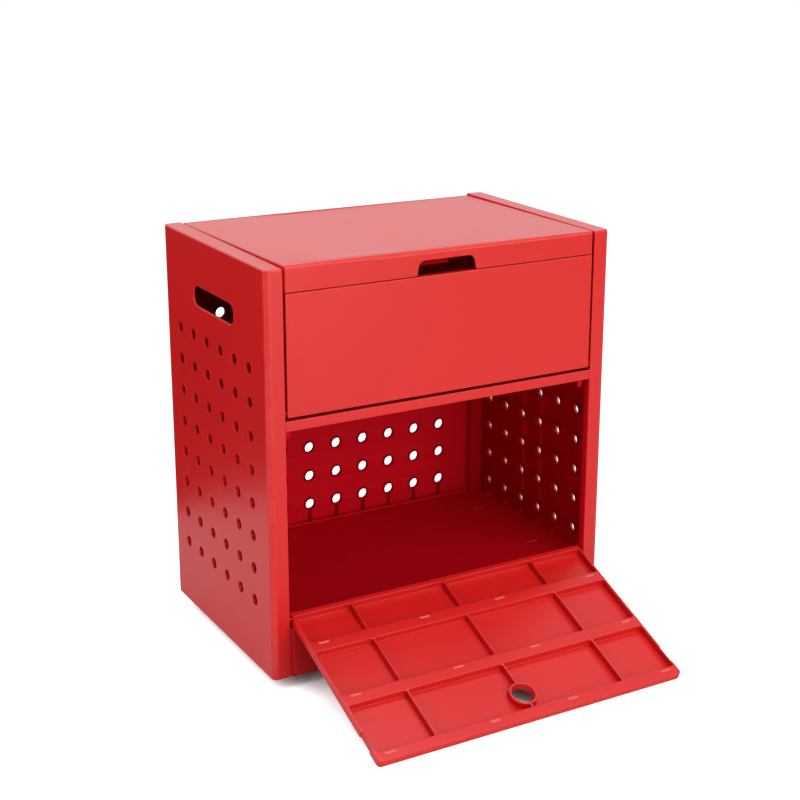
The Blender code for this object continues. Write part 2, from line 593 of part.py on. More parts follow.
def lid():
    """Rear-hinged lid: a shallow ribbed tray turned over, with a deep front skirt and a finger slot."""
    axis = empty("lid_axis", CABINET, (0, LID_PIVOT_Y, LID_PIVOT_Z))
    front = -LID_PIVOT_Y
    rear = LID_REAR_Y - LID_PIVOT_Y
    top = LID_TOP - LID_PIVOT_Z
    skirt = top - LID_SKIRT_HEIGHT
    rim = top - LID_SIDE_HEIGHT
    x = UPPER_DOOR_X
    shape = block((-x, front, skirt), (x, rear, top))
    round_edges(shape, lambda a, b: min(a.z, b.z) > rim and max(a.y, b.y) < front + TOUCH_GAP,
                LID_FRONT_ROUNDING, 3)
    leaf = place("lid", shape, axis)
    cut(leaf, "underside", block((-x - OVERRUN, front + WALL, skirt - OVERRUN), (x + OVERRUN, rear + OVERRUN, rim)))

    half = LID_RIB / 2
    bay_top = top - WALL
    rib_foot = bay_top - LID_RIB_DEPTH
    rear_bay = rear - WALL - LID_REAR_BAY
    cut(leaf, "hollow", block((WALL - x, front + WALL, rim - OVERRUN), (x - WALL, rear_bay, rib_foot)))
    x_pitch = 2 * (x - WALL + half) / LID_BAYS_ACROSS
    y_pitch = (rear_bay - half - (front + WALL - half)) / LID_BAYS_DEEP
    bays = []
    for column in range(LID_BAYS_ACROSS):
        for row in range(LID_BAYS_DEEP):
            x0 = WALL - x - half + column * x_pitch
            y0 = front + WALL - half + row * y_pitch
            bays.append(((x0 + half, y0 + half, rib_foot - OVERRUN / 2),
                         (x0 + x_pitch - half, y0 + y_pitch - half, bay_top)))
    bays.append(((LID_PIN_BLOCK + WALL - x, rear_bay, rim - OVERRUN),
                 (x - WALL - LID_PIN_BLOCK, rear - WALL, bay_top)))
    cut(leaf, "bays", blocks(bays))

    slot_top = skirt + LID_SLOT_HEIGHT
    slot = bmesh.new()
    corners = add_block(slot, (-LID_SLOT_FOOT_HALF, front - OVERRUN, skirt),
                        (LID_SLOT_FOOT_HALF, front + WALL + OVERRUN, slot_top))
    for corner in corners:
        if corner.co.z > slot_top - TOUCH_GAP:
            corner.co.x *= LID_SLOT_HEAD_HALF / LID_SLOT_FOOT_HALF
        else:
            corner.co.z -= TOUCH_GAP
    across = along(1)
    round_edges(slot, lambda a, b: across(a, b) and a.z > slot_top - TOUCH_GAP, LID_SLOT_ROUNDING, 3)
    cut(leaf, "finger_slot", slot)
    cut(leaf, "pin_holes", pin_holes(x))
    hinge_pins("lid", axis, x)
    return leaf


for word, side in (("left", -1), ("right", 1)):
    side_panel("side_panel_" + word, side)
back_panel()
base()
middle_shelf()
for (x, y), word in zip(foot_places(), ("front_left", "rear_left", "front_right", "rear_right")):
    foot("foot_" + word, x, y)
lid()
upper_door()
lower_door()

bpy.context.view_layer.update()
print("lower door rests", round(math.degrees(DOOR_ANGLE), 3), "degrees from closed")
print("front plane at y", round(FRONT_Y, 6), "top of the sides at z", round(SIDE_TOP, 6))
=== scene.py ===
# %% [markdown]
# # A tool cabinet in moulded plastic
# The cabinet is put together from big injection mouldings: two pegboard sides, a pegboard back, a ribbed
# base, a shelf with a front rail, a lid and two drop-front doors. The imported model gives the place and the
# size of each one. This script lays the real surface over them: soft edges, peg holes with cone-shaped
# collars, ribs with draft, and the satin red plastic. Each piece is worked out as arrays of points.

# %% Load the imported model
import math

import bmesh
import bpy
import numpy as np
from mathutils import Matrix, Vector
from mathutils.geometry import tessellate_polygon


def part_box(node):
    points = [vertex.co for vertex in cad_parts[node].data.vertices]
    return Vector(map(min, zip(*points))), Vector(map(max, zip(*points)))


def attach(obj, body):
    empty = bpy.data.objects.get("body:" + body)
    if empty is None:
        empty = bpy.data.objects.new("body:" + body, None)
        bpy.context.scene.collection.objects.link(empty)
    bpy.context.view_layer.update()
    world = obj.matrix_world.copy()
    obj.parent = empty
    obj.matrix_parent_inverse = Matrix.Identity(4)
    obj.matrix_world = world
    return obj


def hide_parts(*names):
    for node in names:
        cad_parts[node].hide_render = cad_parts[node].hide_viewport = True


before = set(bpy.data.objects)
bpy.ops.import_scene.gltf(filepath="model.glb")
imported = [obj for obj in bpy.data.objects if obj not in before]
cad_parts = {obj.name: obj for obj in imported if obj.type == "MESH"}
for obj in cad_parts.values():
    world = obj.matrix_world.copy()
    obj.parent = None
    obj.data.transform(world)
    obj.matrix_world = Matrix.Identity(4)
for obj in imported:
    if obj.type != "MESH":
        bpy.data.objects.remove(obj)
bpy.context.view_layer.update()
print("nodes to dress:", len(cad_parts))


# %% [markdown]
# ## Places taken from the model
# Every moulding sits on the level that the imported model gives, so the main levels are read from the boxes
# of its nodes. What a box can't tell, such as a wall's thickness or the size of a peg hole, is named here
# once, in metres. SINK is how far a rib sinks into the wall it stands on, TOUCH the play between mouldings.

# %% Levels and walls
side_low, side_high = np.array(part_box("side_panel_right"))
_, base_high = np.array(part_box("base"))
back_low, back_high = np.array(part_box("back_panel"))
_, shelf_high = np.array(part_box("middle_shelf"))
_, lid_high = np.array(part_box("lid"))
upper_low, upper_high = np.array(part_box("upper_door"))

HALF_WIDTH = side_high[0]
FRONT_Y = side_low[1]
REAR_Y = side_high[1]
SIDE_FOOT = side_low[2]
SIDE_TOP = side_high[2]
WALL = 0.003
FLANGE = 0.0206
LIP = 0.010
LIP_WALL = 0.003
LIP_X = HALF_WIDTH - FLANGE
BEAD = 0.002
SMALL_EDGE = 0.0005
SINK = 0.0004
TOUCH = 0.0003
KICK_TOP = base_high[2]
FLOOR_TOP = KICK_TOP - BEAD

PEG_PITCH = 0.038
PEG_RADIUS = 0.0065
PEG_FIRST_Z = FLOOR_TOP + 0.0219
PEG_BACK_LIFT = 0.0016
PEG_INSET = 0.0454
PEG_ROWS = 8
PEG_COLUMNS = 6
PEG_BACK_COLUMNS = 9

DOOR_THICKNESS = 0.0095
HINGE_INSET = 0.0045
PIN_BORE = 0.0023
PIN_SIDES = 16
LOWER_DOOR_FOOT = KICK_TOP + 0.0032
LOWER_PIVOT = np.array([0, FRONT_Y + DOOR_THICKNESS / 2, LOWER_DOOR_FOOT + HINGE_INSET])
UPPER_PIVOT = np.array([0, FRONT_Y + DOOR_THICKNESS / 2, upper_low[2] + HINGE_INSET])
print("front", round(FRONT_Y, 4), "floor", round(FLOOR_TOP, 4), "lid top", round(lid_high[2], 4))

RAIL_FOOT = shelf_high[2] - 0.0114
SHELF_PLATE_FOOT = RAIL_FOOT + 0.0052
SHELF_PLATE_TOP = SHELF_PLATE_FOOT + WALL

ACROSS = (1, 0, 0)
BACKWARD = (0, 1, 0)
UP = (0, 0, 1)
DOWN = (0, 0, -1)


# %% [markdown]
# ## Outlines with rounded corners
# Almost every shape of the cabinet is an outline with round corners: a panel, a pocket between ribs, a
# carrying slot. A Bevel modifier could round them, but it can't give one edge 6 mm and its neighbour 1 mm
# on the same panel, so the outlines are computed. Moving each side in by a small amount gives the next
# loop of a rounded edge, and a stack of such loops is a wall.

# %% Closed outlines as arrays
CORNER_STEPS = 5
EDGE_STEPS = 3
LEAST_RADIUS = 0.00012
CORNER_TURN = np.radians([0, 10, 20, 30, 40, 52, 64, 77, 90])


def outline(corners, radius, inset=0.0, steps=CORNER_STEPS):
    """Closed outlines, anticlockwise, one for each inset: every side moves inwards by the inset, and at
    every corner an arc touches both sides. Its radius shrinks by the inset at an outward corner and
    grows by it at an inward one."""
    corners = np.asarray(corners, float)
    along = np.roll(corners, -1, axis=-2) - corners
    along /= np.linalg.norm(along, axis=-1, keepdims=True)
    before = np.roll(along, 1, axis=-2)
    inward = np.stack([-along[..., 1], along[..., 0]], axis=-1)
    inward_before = np.roll(inward, 1, axis=-2)
    cosine = (before * along).sum(axis=-1)
    turn = before[..., 0] * along[..., 1] - before[..., 1] * along[..., 0]
    side = np.sign(turn)
    inset = np.reshape(np.atleast_1d(inset), (-1, 1))
    moved = corners + inset[..., None] * (inward + inward_before) / (1 + cosine)[..., None]
    bend = np.maximum(radius - side * inset, LEAST_RADIUS)
    sweep = np.arctan2(np.abs(turn), cosine)
    start = moved - before * (bend * np.tan(sweep / 2))[..., None]
    centre = start + inward_before * (side * bend)[..., None]
    first = np.arctan2(-side * inward_before[..., 1], -side * inward_before[..., 0])
    angle = first[..., None] + (side * sweep)[..., None] * np.linspace(0, 1, steps + 1)
    arc = np.stack([np.cos(angle), np.sin(angle)], axis=-1)
    points = centre[..., None, :] + bend[..., None, None] * arc
    return points.reshape(points.shape[0], -1, 2)


def rectangle(left, right, foot, head):
    """The four corners of rectangles, anticlockwise; each edge may be an array with one entry a loop."""
    x = np.stack(np.broadcast_arrays(left, right, right, left), -1)
    y = np.stack(np.broadcast_arrays(foot, foot, head, head), -1)
    return np.stack(np.broadcast_arrays(x, y), -1)


def centred(half_first, half_second):
    """The rectangle of these half sizes round the origin."""
    return rectangle(-half_first, half_first, -half_second, half_second)


def circles(centre, radii, sides):
    """One circle of points for each radius: centre + radius * (cosine, sine)."""
    turn = np.arange(sides) * 2 * np.pi / sides
    ring = np.stack([np.cos(turn), np.sin(turn)], -1)
    return np.asarray(centre) + np.multiply.outer(np.atleast_1d(radii), ring)


def rounding(radius, steps=EDGE_STEPS):
    """A quarter circle from the flat to the wall: each loop lies radius * (1 - sine) in and
    radius * (1 - cosine) deep."""
    turn = np.linspace(0, np.pi / 2, steps + 1)
    return radius * (1 - np.sin(turn)), radius * (1 - np.cos(turn))


def two_roundings(wide, narrow):
    """One stack of loops for a wide and a narrow quarter circle: the depth of each loop and how far in it
    lies at either. At a depth the narrow one is radius - root(radius^2 - (radius - depth)^2) in."""
    depth = wide * (1 - np.cos(CORNER_TURN))
    inset = narrow - np.sqrt(narrow ** 2 - np.maximum(narrow - depth, 0) ** 2)
    return depth, wide * (1 - np.sin(CORNER_TURN)), inset


def edge_strips(*counts):
    """Which strips are rounded: so many in each rounding, and one flat strip between two roundings."""
    return np.concatenate([[0.0] + [1.0] * count for count in counts])[1:]


def through(corners, radius, edge, near, far, side):
    """Loops, depths and rounded strips of a wall between two faces: side is +1 round a body and -1
    round an opening, whose rounded edges widen it."""
    inset, rise = rounding(edge)
    loops = outline(corners, radius, side * np.concatenate([inset, inset[::-1]]))
    return loops, np.concatenate([near + rise, far - rise[::-1]]), edge_strips(EDGE_STEPS, EDGE_STEPS)


def quads(index, ahead):
    """Faces between each row of points and the next: a point, the one ahead, and both a row on."""
    return np.stack([index[:-1], ahead[:-1], ahead[1:], index[1:]], axis=-1).reshape(-1, 4)


def add_object(name, data):
    """Put new data into the scene as an object."""
    item = bpy.data.objects.new(name, data)
    bpy.context.scene.collection.objects.link(item)
    return item


# %% [markdown]
# ## Welding a moulding together
# A moulding is a set of bands, which join one loop to the next, and of flats, which fill an outline around
# its holes. Both are gathered as arrays, given to one mesh, welded, and turned so that all faces look out.
# Smooth shading with a Weighted Normal modifier keeps the flats flat, so light runs only along the small
# roundings, as it does on moulded plastic.

# %% The moulding builder
WELD = 0.000004
# share of a pocket's painted shade on walls that face along the second direction
CROSS_SHADE = 0.2
TURNED_SIDES = 28


def mark_faces(mesh, name, values):
    """Write one number a face, which the material reads by this name."""
    mark = mesh.attributes.new(name, "FLOAT", "FACE")
    mark.data.foreach_set("value", np.array(values, dtype=np.float32))


class Moulding:
    """Bands and flats of one piece. A point is given as two places in the plane of its outline and a
    depth, and laid in the cabinet by an origin and three directions."""

    def __init__(self, name):
        self.name = name
        self.points = []
        self.faces = []
        self.edges = []
        self.pales_and_painted_shades = []
        # above 0 a face is whitened plastic, below 0 it gets painted shade
        self.pale_and_painted_shade = 0.0
        self.count = 0
        self.face((0, 0, 0), ACROSS, BACKWARD, UP)

    def face(self, origin, first, second, depth):
        """From here on, points are laid from this origin along these directions."""
        self.origin = np.array(origin, float)
        self.axes = np.array([first, second, depth], float)

    def lay(self, loops, depth):
        """World place of each point: origin + first * a + second * b + depth direction * depth."""
        loops = np.asarray(loops, float)
        depth = np.asarray(depth, float)
        depth = depth[..., None] if depth.ndim == loops.ndim - 2 else depth
        depth = np.broadcast_to(depth, loops.shape[:-1])
        local = np.concatenate([loops, depth[..., None]], axis=-1)
        self.points.append((self.origin + local @ self.axes).reshape(-1, 3))
        start = self.count
        self.count += local.size // 3
        return start + np.arange(local.size // 3).reshape(loops.shape[:-1])

    def keep(self, faces, edges, pales_and_painted_shades):
        """Gather faces, with how rounded each one is and how pale or painted with shade; one value may go
        for them all.
        """
        self.faces.extend(faces.tolist())
        self.edges.extend(np.broadcast_to(edges, len(faces)).tolist())
        self.pales_and_painted_shades.extend(np.broadcast_to(pales_and_painted_shades, len(faces)).tolist())

    def band(self, loops, depth, edge=0.0, pale_and_painted_shade=None):
        """Quads between each loop and the next. Edge says how much of a rounded edge each strip is, and
        pale how whitened its quads are; below 0 they get painted shade, as a deep corner would have."""
        index = self.lay(loops, depth)
        strips, points = index.shape[0] - 1, index.shape[1]
        edges = np.repeat(np.broadcast_to(edge, strips), points)
        tones = np.broadcast_to(self.pale_and_painted_shade if pale_and_painted_shade is None else pale_and_painted_shade, (strips, points)).ravel()
        self.keep(quads(index, np.roll(index, -1, axis=1)), edges, tones)

    def flat(self, loop, depth, holes=()):
        """Triangles that fill one outline around its holes."""
        rings = [np.asarray(loop)] + [np.asarray(hole) for hole in holes]
        index = self.lay(np.concatenate(rings), depth)
        outlines = [[Vector((x, y, 0)) for x, y in ring.tolist()] for ring in rings]
        self.keep(index[np.array(tessellate_polygon(outlines))], 0.0, self.pale_and_painted_shade)

    def sheet(self, grid, depth):
        """Quads of a grid of points, given as rows."""
        index = self.lay(grid, depth)
        self.keep(quads(index[:, :-1], index[:, 1:]), 0.0, self.pale_and_painted_shade)

    def slab(self, corners, near, far, radius=SMALL_EDGE, edge=SMALL_EDGE):
        """A closed plate with rounded edges on both faces, between two depths."""
        loops, depths, worn = through(corners, radius, edge, near, far, 1)
        self.band(loops, depths, worn)
        self.flat(loops[0], near)
        self.flat(loops[-1], far)

    def pocket(self, corners, radius, near, far, edge, foot, draft=0.0, shade=0.0):
        """A blind hollow: rounded rim, a wall that leans in by the draft, a hollowed foot and a floor; wall
        and foot may get painted shade, fullest where they face along the first direction. Gives back its rim
        for the flat around it."""
        way = np.sign(far - near)
        inset, rise = rounding(edge)
        foot_inset, foot_rise = rounding(foot)
        loops = outline(corners, radius, np.concatenate([-inset, draft + foot_inset[::-1]]))
        run = np.roll(loops[0], -1, axis=0) - loops[0]
        sideways = np.abs(run[:, 1]) / np.linalg.norm(run, axis=1)
        rounded = np.array([1.0] * EDGE_STEPS + [0.0] * (EDGE_STEPS + 1))
        # painted shade on wall and foot, a smaller share where they face along the second direction
        walls = np.outer(shade * (1 - rounded), CROSS_SHADE + (1 - CROSS_SHADE) * sideways)
        depths = np.concatenate([near + way * rise, far - way * foot_rise[::-1]])
        self.band(loops, depths, rounded, self.pale_and_painted_shade - walls)
        self.flat(loops[-1], far)
        return loops[0]

    def carried(self, section, half):
        """A section carried from one end to the other, closed at both."""
        ends = np.array([-half, half])
        self.band(np.stack([section, section]), ends)
        self.flat(section, ends[0])
        self.flat(section, ends[1])

    def turned(self, radii, levels, sides=TURNED_SIDES):
        """A turned shape round the depth direction; a profile that doesn't end where it began gets caps."""
        loops = circles((0, 0), radii, sides)
        self.band(loops, np.array(levels))
        if (radii[0], levels[0]) != (radii[-1], levels[-1]):
            self.flat(loops[0], levels[0])
            self.flat(loops[-1], levels[-1])

    def make(self):
        """Weld the gathered faces into one mesh object at the origin."""
        mesh = bpy.data.meshes.new(self.name)
        mesh.from_pydata(np.concatenate(self.points), [], self.faces)
        mark_faces(mesh, "edge", self.edges)
        mark_faces(mesh, "pale_and_painted_shade", self.pales_and_painted_shades)
        shape = bmesh.new()
        shape.from_mesh(mesh)
        bmesh.ops.remove_doubles(shape, verts=shape.verts, dist=WELD)
        bmesh.ops.recalc_face_normals(shape, faces=shape.faces)
        open_edges = sum(not edge.is_manifold for edge in shape.edges)
        shape.to_mesh(mesh)
        shape.free()
        mesh.shade_smooth()
        piece = add_object(self.name, mesh)
        even = piece.modifiers.new("even_flats", "WEIGHTED_NORMAL")
        even.weight = 100
        print(self.name, "faces", len(mesh.polygons), "open edges", open_edges)
        return piece


# %% [markdown]
# ## The satin red plastic
# The shells are moulded in one bright red, with the slight unevenness of a big moulding: the colour drifts
# a little, the skin has the fine grain of the tool it came from, the gloss changes with handling, and the
# rounded edges are faintly scuffed. Deep corners and the faces inside the cabinet get painted shade, a
# darker red with a weaker reflection, and small fed-in marks are pale. One function writes these nodes
# for every red finish, and each finish says its own gloss.

# %% Node helpers
def new_finish(name):
    """An empty node material; gives back the material and its nodes."""
    finish = bpy.data.materials.new(name)
    finish.use_nodes = True
    return finish, finish.node_tree.nodes


def plug(socket, value):
    """Lead another node's output to an input, or write a plain value into it."""
    if isinstance(value, bpy.types.NodeSocket):
        socket.id_data.links.new(value, socket)
    else:
        socket.default_value = value


def node(nodes, kind, **settings):
    """A new node with its settings; one that starts with in_ goes to the input of that name."""
    made = nodes.new("ShaderNode" + kind)
    for key, value in settings.items():
        if key.startswith("in_"):
            plug(made.inputs[key[3:].replace("_", " ")], value)
        else:
            setattr(made, key, value)
    return made


def ramp(nodes, source, low, high, dark, light):
    """Stretch a value between two limits to a new range."""
    made = node(nodes, "MapRange", in_Value=source, in_From_Min=low, in_From_Max=high,
                in_To_Min=dark, in_To_Max=light)
    return made.outputs["Result"]


def maths(nodes, operation, *values):
    """One sum, product or maximum of outputs and plain values."""
    made = node(nodes, "Math", operation=operation)
    for socket, value in zip(made.inputs, values):
        plug(socket, value)
    return made.outputs["Value"]


def noise(nodes, place, scale, detail):
    """Soft noise in the object's own space, at this scale and with this much detail."""
    made = node(nodes, "TexNoise", in_Vector=place, in_Scale=scale, in_Detail=detail)
    return made.outputs["Fac"]


def mix(nodes, share, first, second):
    """Two colours mixed: the first at a share of 0, the second at 1."""
    made = node(nodes, "Mix", data_type="RGBA", in_Factor=share, in_A=first, in_B=second)
    return made.outputs["Result"]


# %% The red plastic
SHELL_RED = (0.69, 0.0085, 0.0096, 1)
DEEP_RED = (0.66, 0.0075, 0.0086, 1)
# painted shade inside the cabinet: a deeper red and a smaller share of reflection; the dulling is only
# roughness
INSIDE_SHADE_RED = (0.60, 0.0014, 0.0125, 1)
INSIDE_SHADE_SHINE = 0.16
INNER_DULLING = 0.34
# painted shade: the red of deep corners, and the share of reflection left there
SHADE_RED = (0.075, 0.0008, 0.0030, 1)
SHADE_GLOSS = 0.15
SCUFF_PINK = (0.78, 0.16, 0.14, 1)
DRIFT_NOISE = (7, 3)
CLOUD_NOISE = (60, 4)
GRAIN_NOISES = ((900, 2), (2600, 1))
DRIFT_MIX = (0.35, 0.65, 0.2, 1.0)
RUB_WHERE = (0.45, 0.70)
CLOUD_SPAN = (0.2, 0.8)
DRIFT_SPAN = (0.3, 0.7)
GRAIN_HEIGHT = 0.0002
GRAIN_STRENGTH = 0.05
WAVE_HEIGHT = 0.0006
WAVE_STRENGTH = 0.05
SPECK_SCALE = 85
SPECK_SIZE = (0.02, 0.05)
SPECK_SHARE = 0.18
RUB_SHARE = (0.01, 0.09)
GLOSS_DRIFT = 0.01
PLASTIC_IOR = 1.53
PLASTIC_SHINE = 0.5


def red_plastic(name, gloss=0.30):
    """Two reds mixed by slow noise, a deeper red painted inside as shade, scuff pink on rubbed edges,
    specks and pale marks, painted shade in deep corners; roughness from two noises, and a fine grain over a
    slow waviness."""
    finish, nodes = new_finish(name)
    skin = nodes["Principled BSDF"].inputs
    place = node(nodes, "TexCoord").outputs["Object"]

    slow, cloud = [noise(nodes, place, *kind) for kind in (DRIFT_NOISE, CLOUD_NOISE)]
    fine = maths(nodes, "ADD", *[noise(nodes, place, *kind) for kind in GRAIN_NOISES])
    edge, inner, pale_and_painted_shade = [node(nodes, "Attribute", attribute_name=word).outputs["Fac"]
                         for word in ("edge", "inner", "pale_and_painted_shade")]

    tint = mix(nodes, ramp(nodes, slow, *DRIFT_MIX), DEEP_RED, SHELL_RED)
    # painted shade: faces inside the cabinet take the deeper inside red
    tint = mix(nodes, inner, tint, INSIDE_SHADE_RED)
    specks = node(nodes, "TexVoronoi", in_Vector=place, in_Scale=SPECK_SCALE, feature="F1")
    speck = ramp(nodes, specks.outputs["Distance"], *SPECK_SIZE, SPECK_SHARE, 0.0)
    rub = maths(nodes, "MULTIPLY", edge, ramp(nodes, cloud, *RUB_WHERE, *RUB_SHARE))
    whitened = maths(nodes, "MAXIMUM", maths(nodes, "MAXIMUM", rub, speck), pale_and_painted_shade)
    # painted shade: pale values below 0 mix in the shade red
    shade = ramp(nodes, pale_and_painted_shade, -1.0, 0.0, 1.0, 0.0)
    plug(skin["Base Color"], mix(nodes, shade, mix(nodes, whitened, tint, SCUFF_PINK), SHADE_RED))

    handled = ramp(nodes, cloud, *CLOUD_SPAN, gloss - GLOSS_DRIFT, gloss + GLOSS_DRIFT)
    satin = maths(nodes, "ADD", handled, ramp(nodes, slow, *DRIFT_SPAN, -GLOSS_DRIFT, GLOSS_DRIFT))
    plug(skin["Roughness"], maths(nodes, "MULTIPLY_ADD", inner, INNER_DULLING, satin))
    wave = node(nodes, "Bump", in_Strength=WAVE_STRENGTH, in_Distance=WAVE_HEIGHT, in_Height=slow)
    bump = node(nodes, "Bump", in_Strength=GRAIN_STRENGTH, in_Distance=GRAIN_HEIGHT, in_Height=fine,
                in_Normal=wave.outputs["Normal"])
    plug(skin["Normal"], bump.outputs["Normal"])
    skin["IOR"].default_value = PLASTIC_IOR
    # painted shade dims the reflection: less inside the cabinet, less again in deep corners
    dimmed = ramp(nodes, inner, 0.0, 1.0, PLASTIC_SHINE, PLASTIC_SHINE * INSIDE_SHADE_SHINE)
    shine = maths(nodes, "MULTIPLY", dimmed, ramp(nodes, shade, 0.0, 0.5, 1.0, SHADE_GLOSS))
    plug(skin["Specular IOR Level"], shine)
    return finish


shell_red = red_plastic("satin_red_shell")
door_red = red_plastic("satin_red_door", gloss=0.31)
print("red finishes:", shell_red.name, door_red.name)


# %% The feet's rubber
RUBBER_DARK = (0.020, 0.020, 0.022, 1)
RUBBER_LIGHT = (0.045, 0.044, 0.046, 1)
MOTTLE_NOISE = (180, 4)
RUBBER_ROUGHNESS = (0.65, 0.85)
POWDER_STRENGTH = 0.3


def dull_rubber():
    """Dark grey rubber: mottled colour, rough skin and a powdery bump."""
    finish, nodes = new_finish("foot_rubber")
    skin = nodes["Principled BSDF"].inputs
    place = node(nodes, "TexCoord").outputs["Object"]
    mottle = noise(nodes, place, *MOTTLE_NOISE)
    plug(skin["Base Color"], mix(nodes, mottle, RUBBER_DARK, RUBBER_LIGHT))
    plug(skin["Roughness"], ramp(nodes, mottle, *DRIFT_SPAN, *RUBBER_ROUGHNESS))
    bump = node(nodes, "Bump", in_Strength=POWDER_STRENGTH, in_Distance=GRAIN_HEIGHT, in_Height=mottle)
    plug(skin["Normal"], bump.outputs["Normal"])
    return finish


foot_rubber = dull_rubber()
print("foot finish:", foot_rubber.name)


# %% [markdown]
# ## Dressing a piece
# Inside the cabinet the red looks deeper and duller, and that is painted as shade: a deeper red with a
# weaker reflection, besides a rougher skin. So each face of the cabinet and of the lid carries a number that
# says how far inside it lies, and the kick board under the open door gets part of it as painted shadow.
# Every piece then gets its finish, the body it rides on and its material slot, and the node that it stands
# for is hidden.

# %% Painted inside shade and hand-over of one piece
INSIDE_DEPTH = 0.0027
# painted shadow of the open door on the kick board, a share of the inside shade
KICK_PAINTED_SHADE = 0.45


def mark_painted_inside_shade(piece):
    """Say how much painted inside shade each face gets: 1 above the floor, behind the front wall and between
    the side skins, the kick share as painted shadow on the kick board under the open door, 0 anywhere else."""
    faces = piece.data.polygons
    centre = np.empty(3 * len(faces), dtype=np.float32)
    faces.foreach_get("center", centre)
    x, y, z = centre.reshape(-1, 3).T
    inside = (np.abs(x) < HALF_WIDTH - INSIDE_DEPTH) & (z > FLOOR_TOP - TOUCH)
    inside &= (y > FRONT_Y + INSIDE_DEPTH) & (y < back_low[1] + INSIDE_DEPTH)
    inside &= z < lid_high[2] - INSIDE_DEPTH
    kick_board = (z < KICK_TOP) & (np.abs(x) < LIP_X) & (y < FRONT_Y + WALL)
    mark_faces(piece.data, "inner", np.where(kick_board, KICK_PAINTED_SHADE, inside))


def dress(piece, body, slot, finish, *replaced):
    """Give a piece its finish, say which body it rides on, and hide the nodes that it stands for."""
    piece.data.materials.append(finish)
    if body in ("cabinet", "lid"):
        mark_painted_inside_shade(piece)
    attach(piece, body)
    if replaced:
        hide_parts(*replaced)


# %% [markdown]
# ## The pegboard sides
# Each side is a tray with its open mouth to the inside: a 3 mm skin, a 20 mm flange all round and a lip
# turned back inwards. The upright corners are well rounded where the skin turns into the flange, the top
# and the foot only slightly. Round each peg hole a cone-shaped collar stands on the inner skin. Ledges,
# hinge bosses, corner posts, door stops and the low weld lines between the holes are blocks on top.

# %% Peg holes and the carrying slot
PEG_SIDES = 24
PEG_EDGE = 0.0003
SIDE_COLLAR = 0.0047
BACK_COLLAR = 0.0028
COLLAR_HEAD = 0.0072
COLLAR_FOOT = 0.0088
PEG_RADII = (PEG_RADIUS + PEG_EDGE, PEG_RADIUS, PEG_RADIUS, PEG_RADIUS, PEG_RADIUS + PEG_EDGE, COLLAR_HEAD,
             COLLAR_HEAD + PEG_EDGE, COLLAR_FOOT)
PEG_WORN = (0.6, 0.0, 0.0, 0.6, 0.6, 0.6, 0.0)
# painted shade on the bore inside the collar and on the collar's top and flank
PEG_PAINTED_SHADES = np.array([[0.0], [0.0], [-0.5], [-0.15], [-0.15], [-0.3], [-0.5]])
CARRY_HALF = (0.055, 0.0115)
CARRY_CORNER = 0.010
CARRY_EDGE = 0.0011
CARRY_Y = FRONT_Y + 0.137
CARRY_Z = SIDE_TOP - 0.0654


def collar_levels(height):
    """Depths of a hole's circles below the outer face: bore, top of the collar, foot of the collar."""
    top = WALL + height
    return np.array([0, PEG_EDGE, WALL, top - PEG_EDGE, top, top, top - PEG_EDGE, WALL])


def peg_holes(piece, columns, rows, levels):
    """A hole at each crossing of the columns and rows: a bore that is flush on the outer face and ends in
    a cone-shaped collar on the inner one. Gives back the outer and the inner rims."""
    holes = [circles((column, row), PEG_RADII, PEG_SIDES) for column in columns for row in rows]
    for hole in holes:
        # the collar gets painted shade, the bore in the wall none
        piece.band(hole, levels, PEG_WORN, PEG_PAINTED_SHADES)
    return [hole[0] for hole in holes], [hole[-1] for hole in holes]


# %% The tray of one side
SIDE_CORNER = 0.0066
SIDE_EDGE = 0.0014
SKIN_SHADE = 0.36
TRAY_CORNER = 0.0022
LIP_EDGE = 0.0008
MOUTH_CORNER = 0.0015
LIP_STEPS = 4


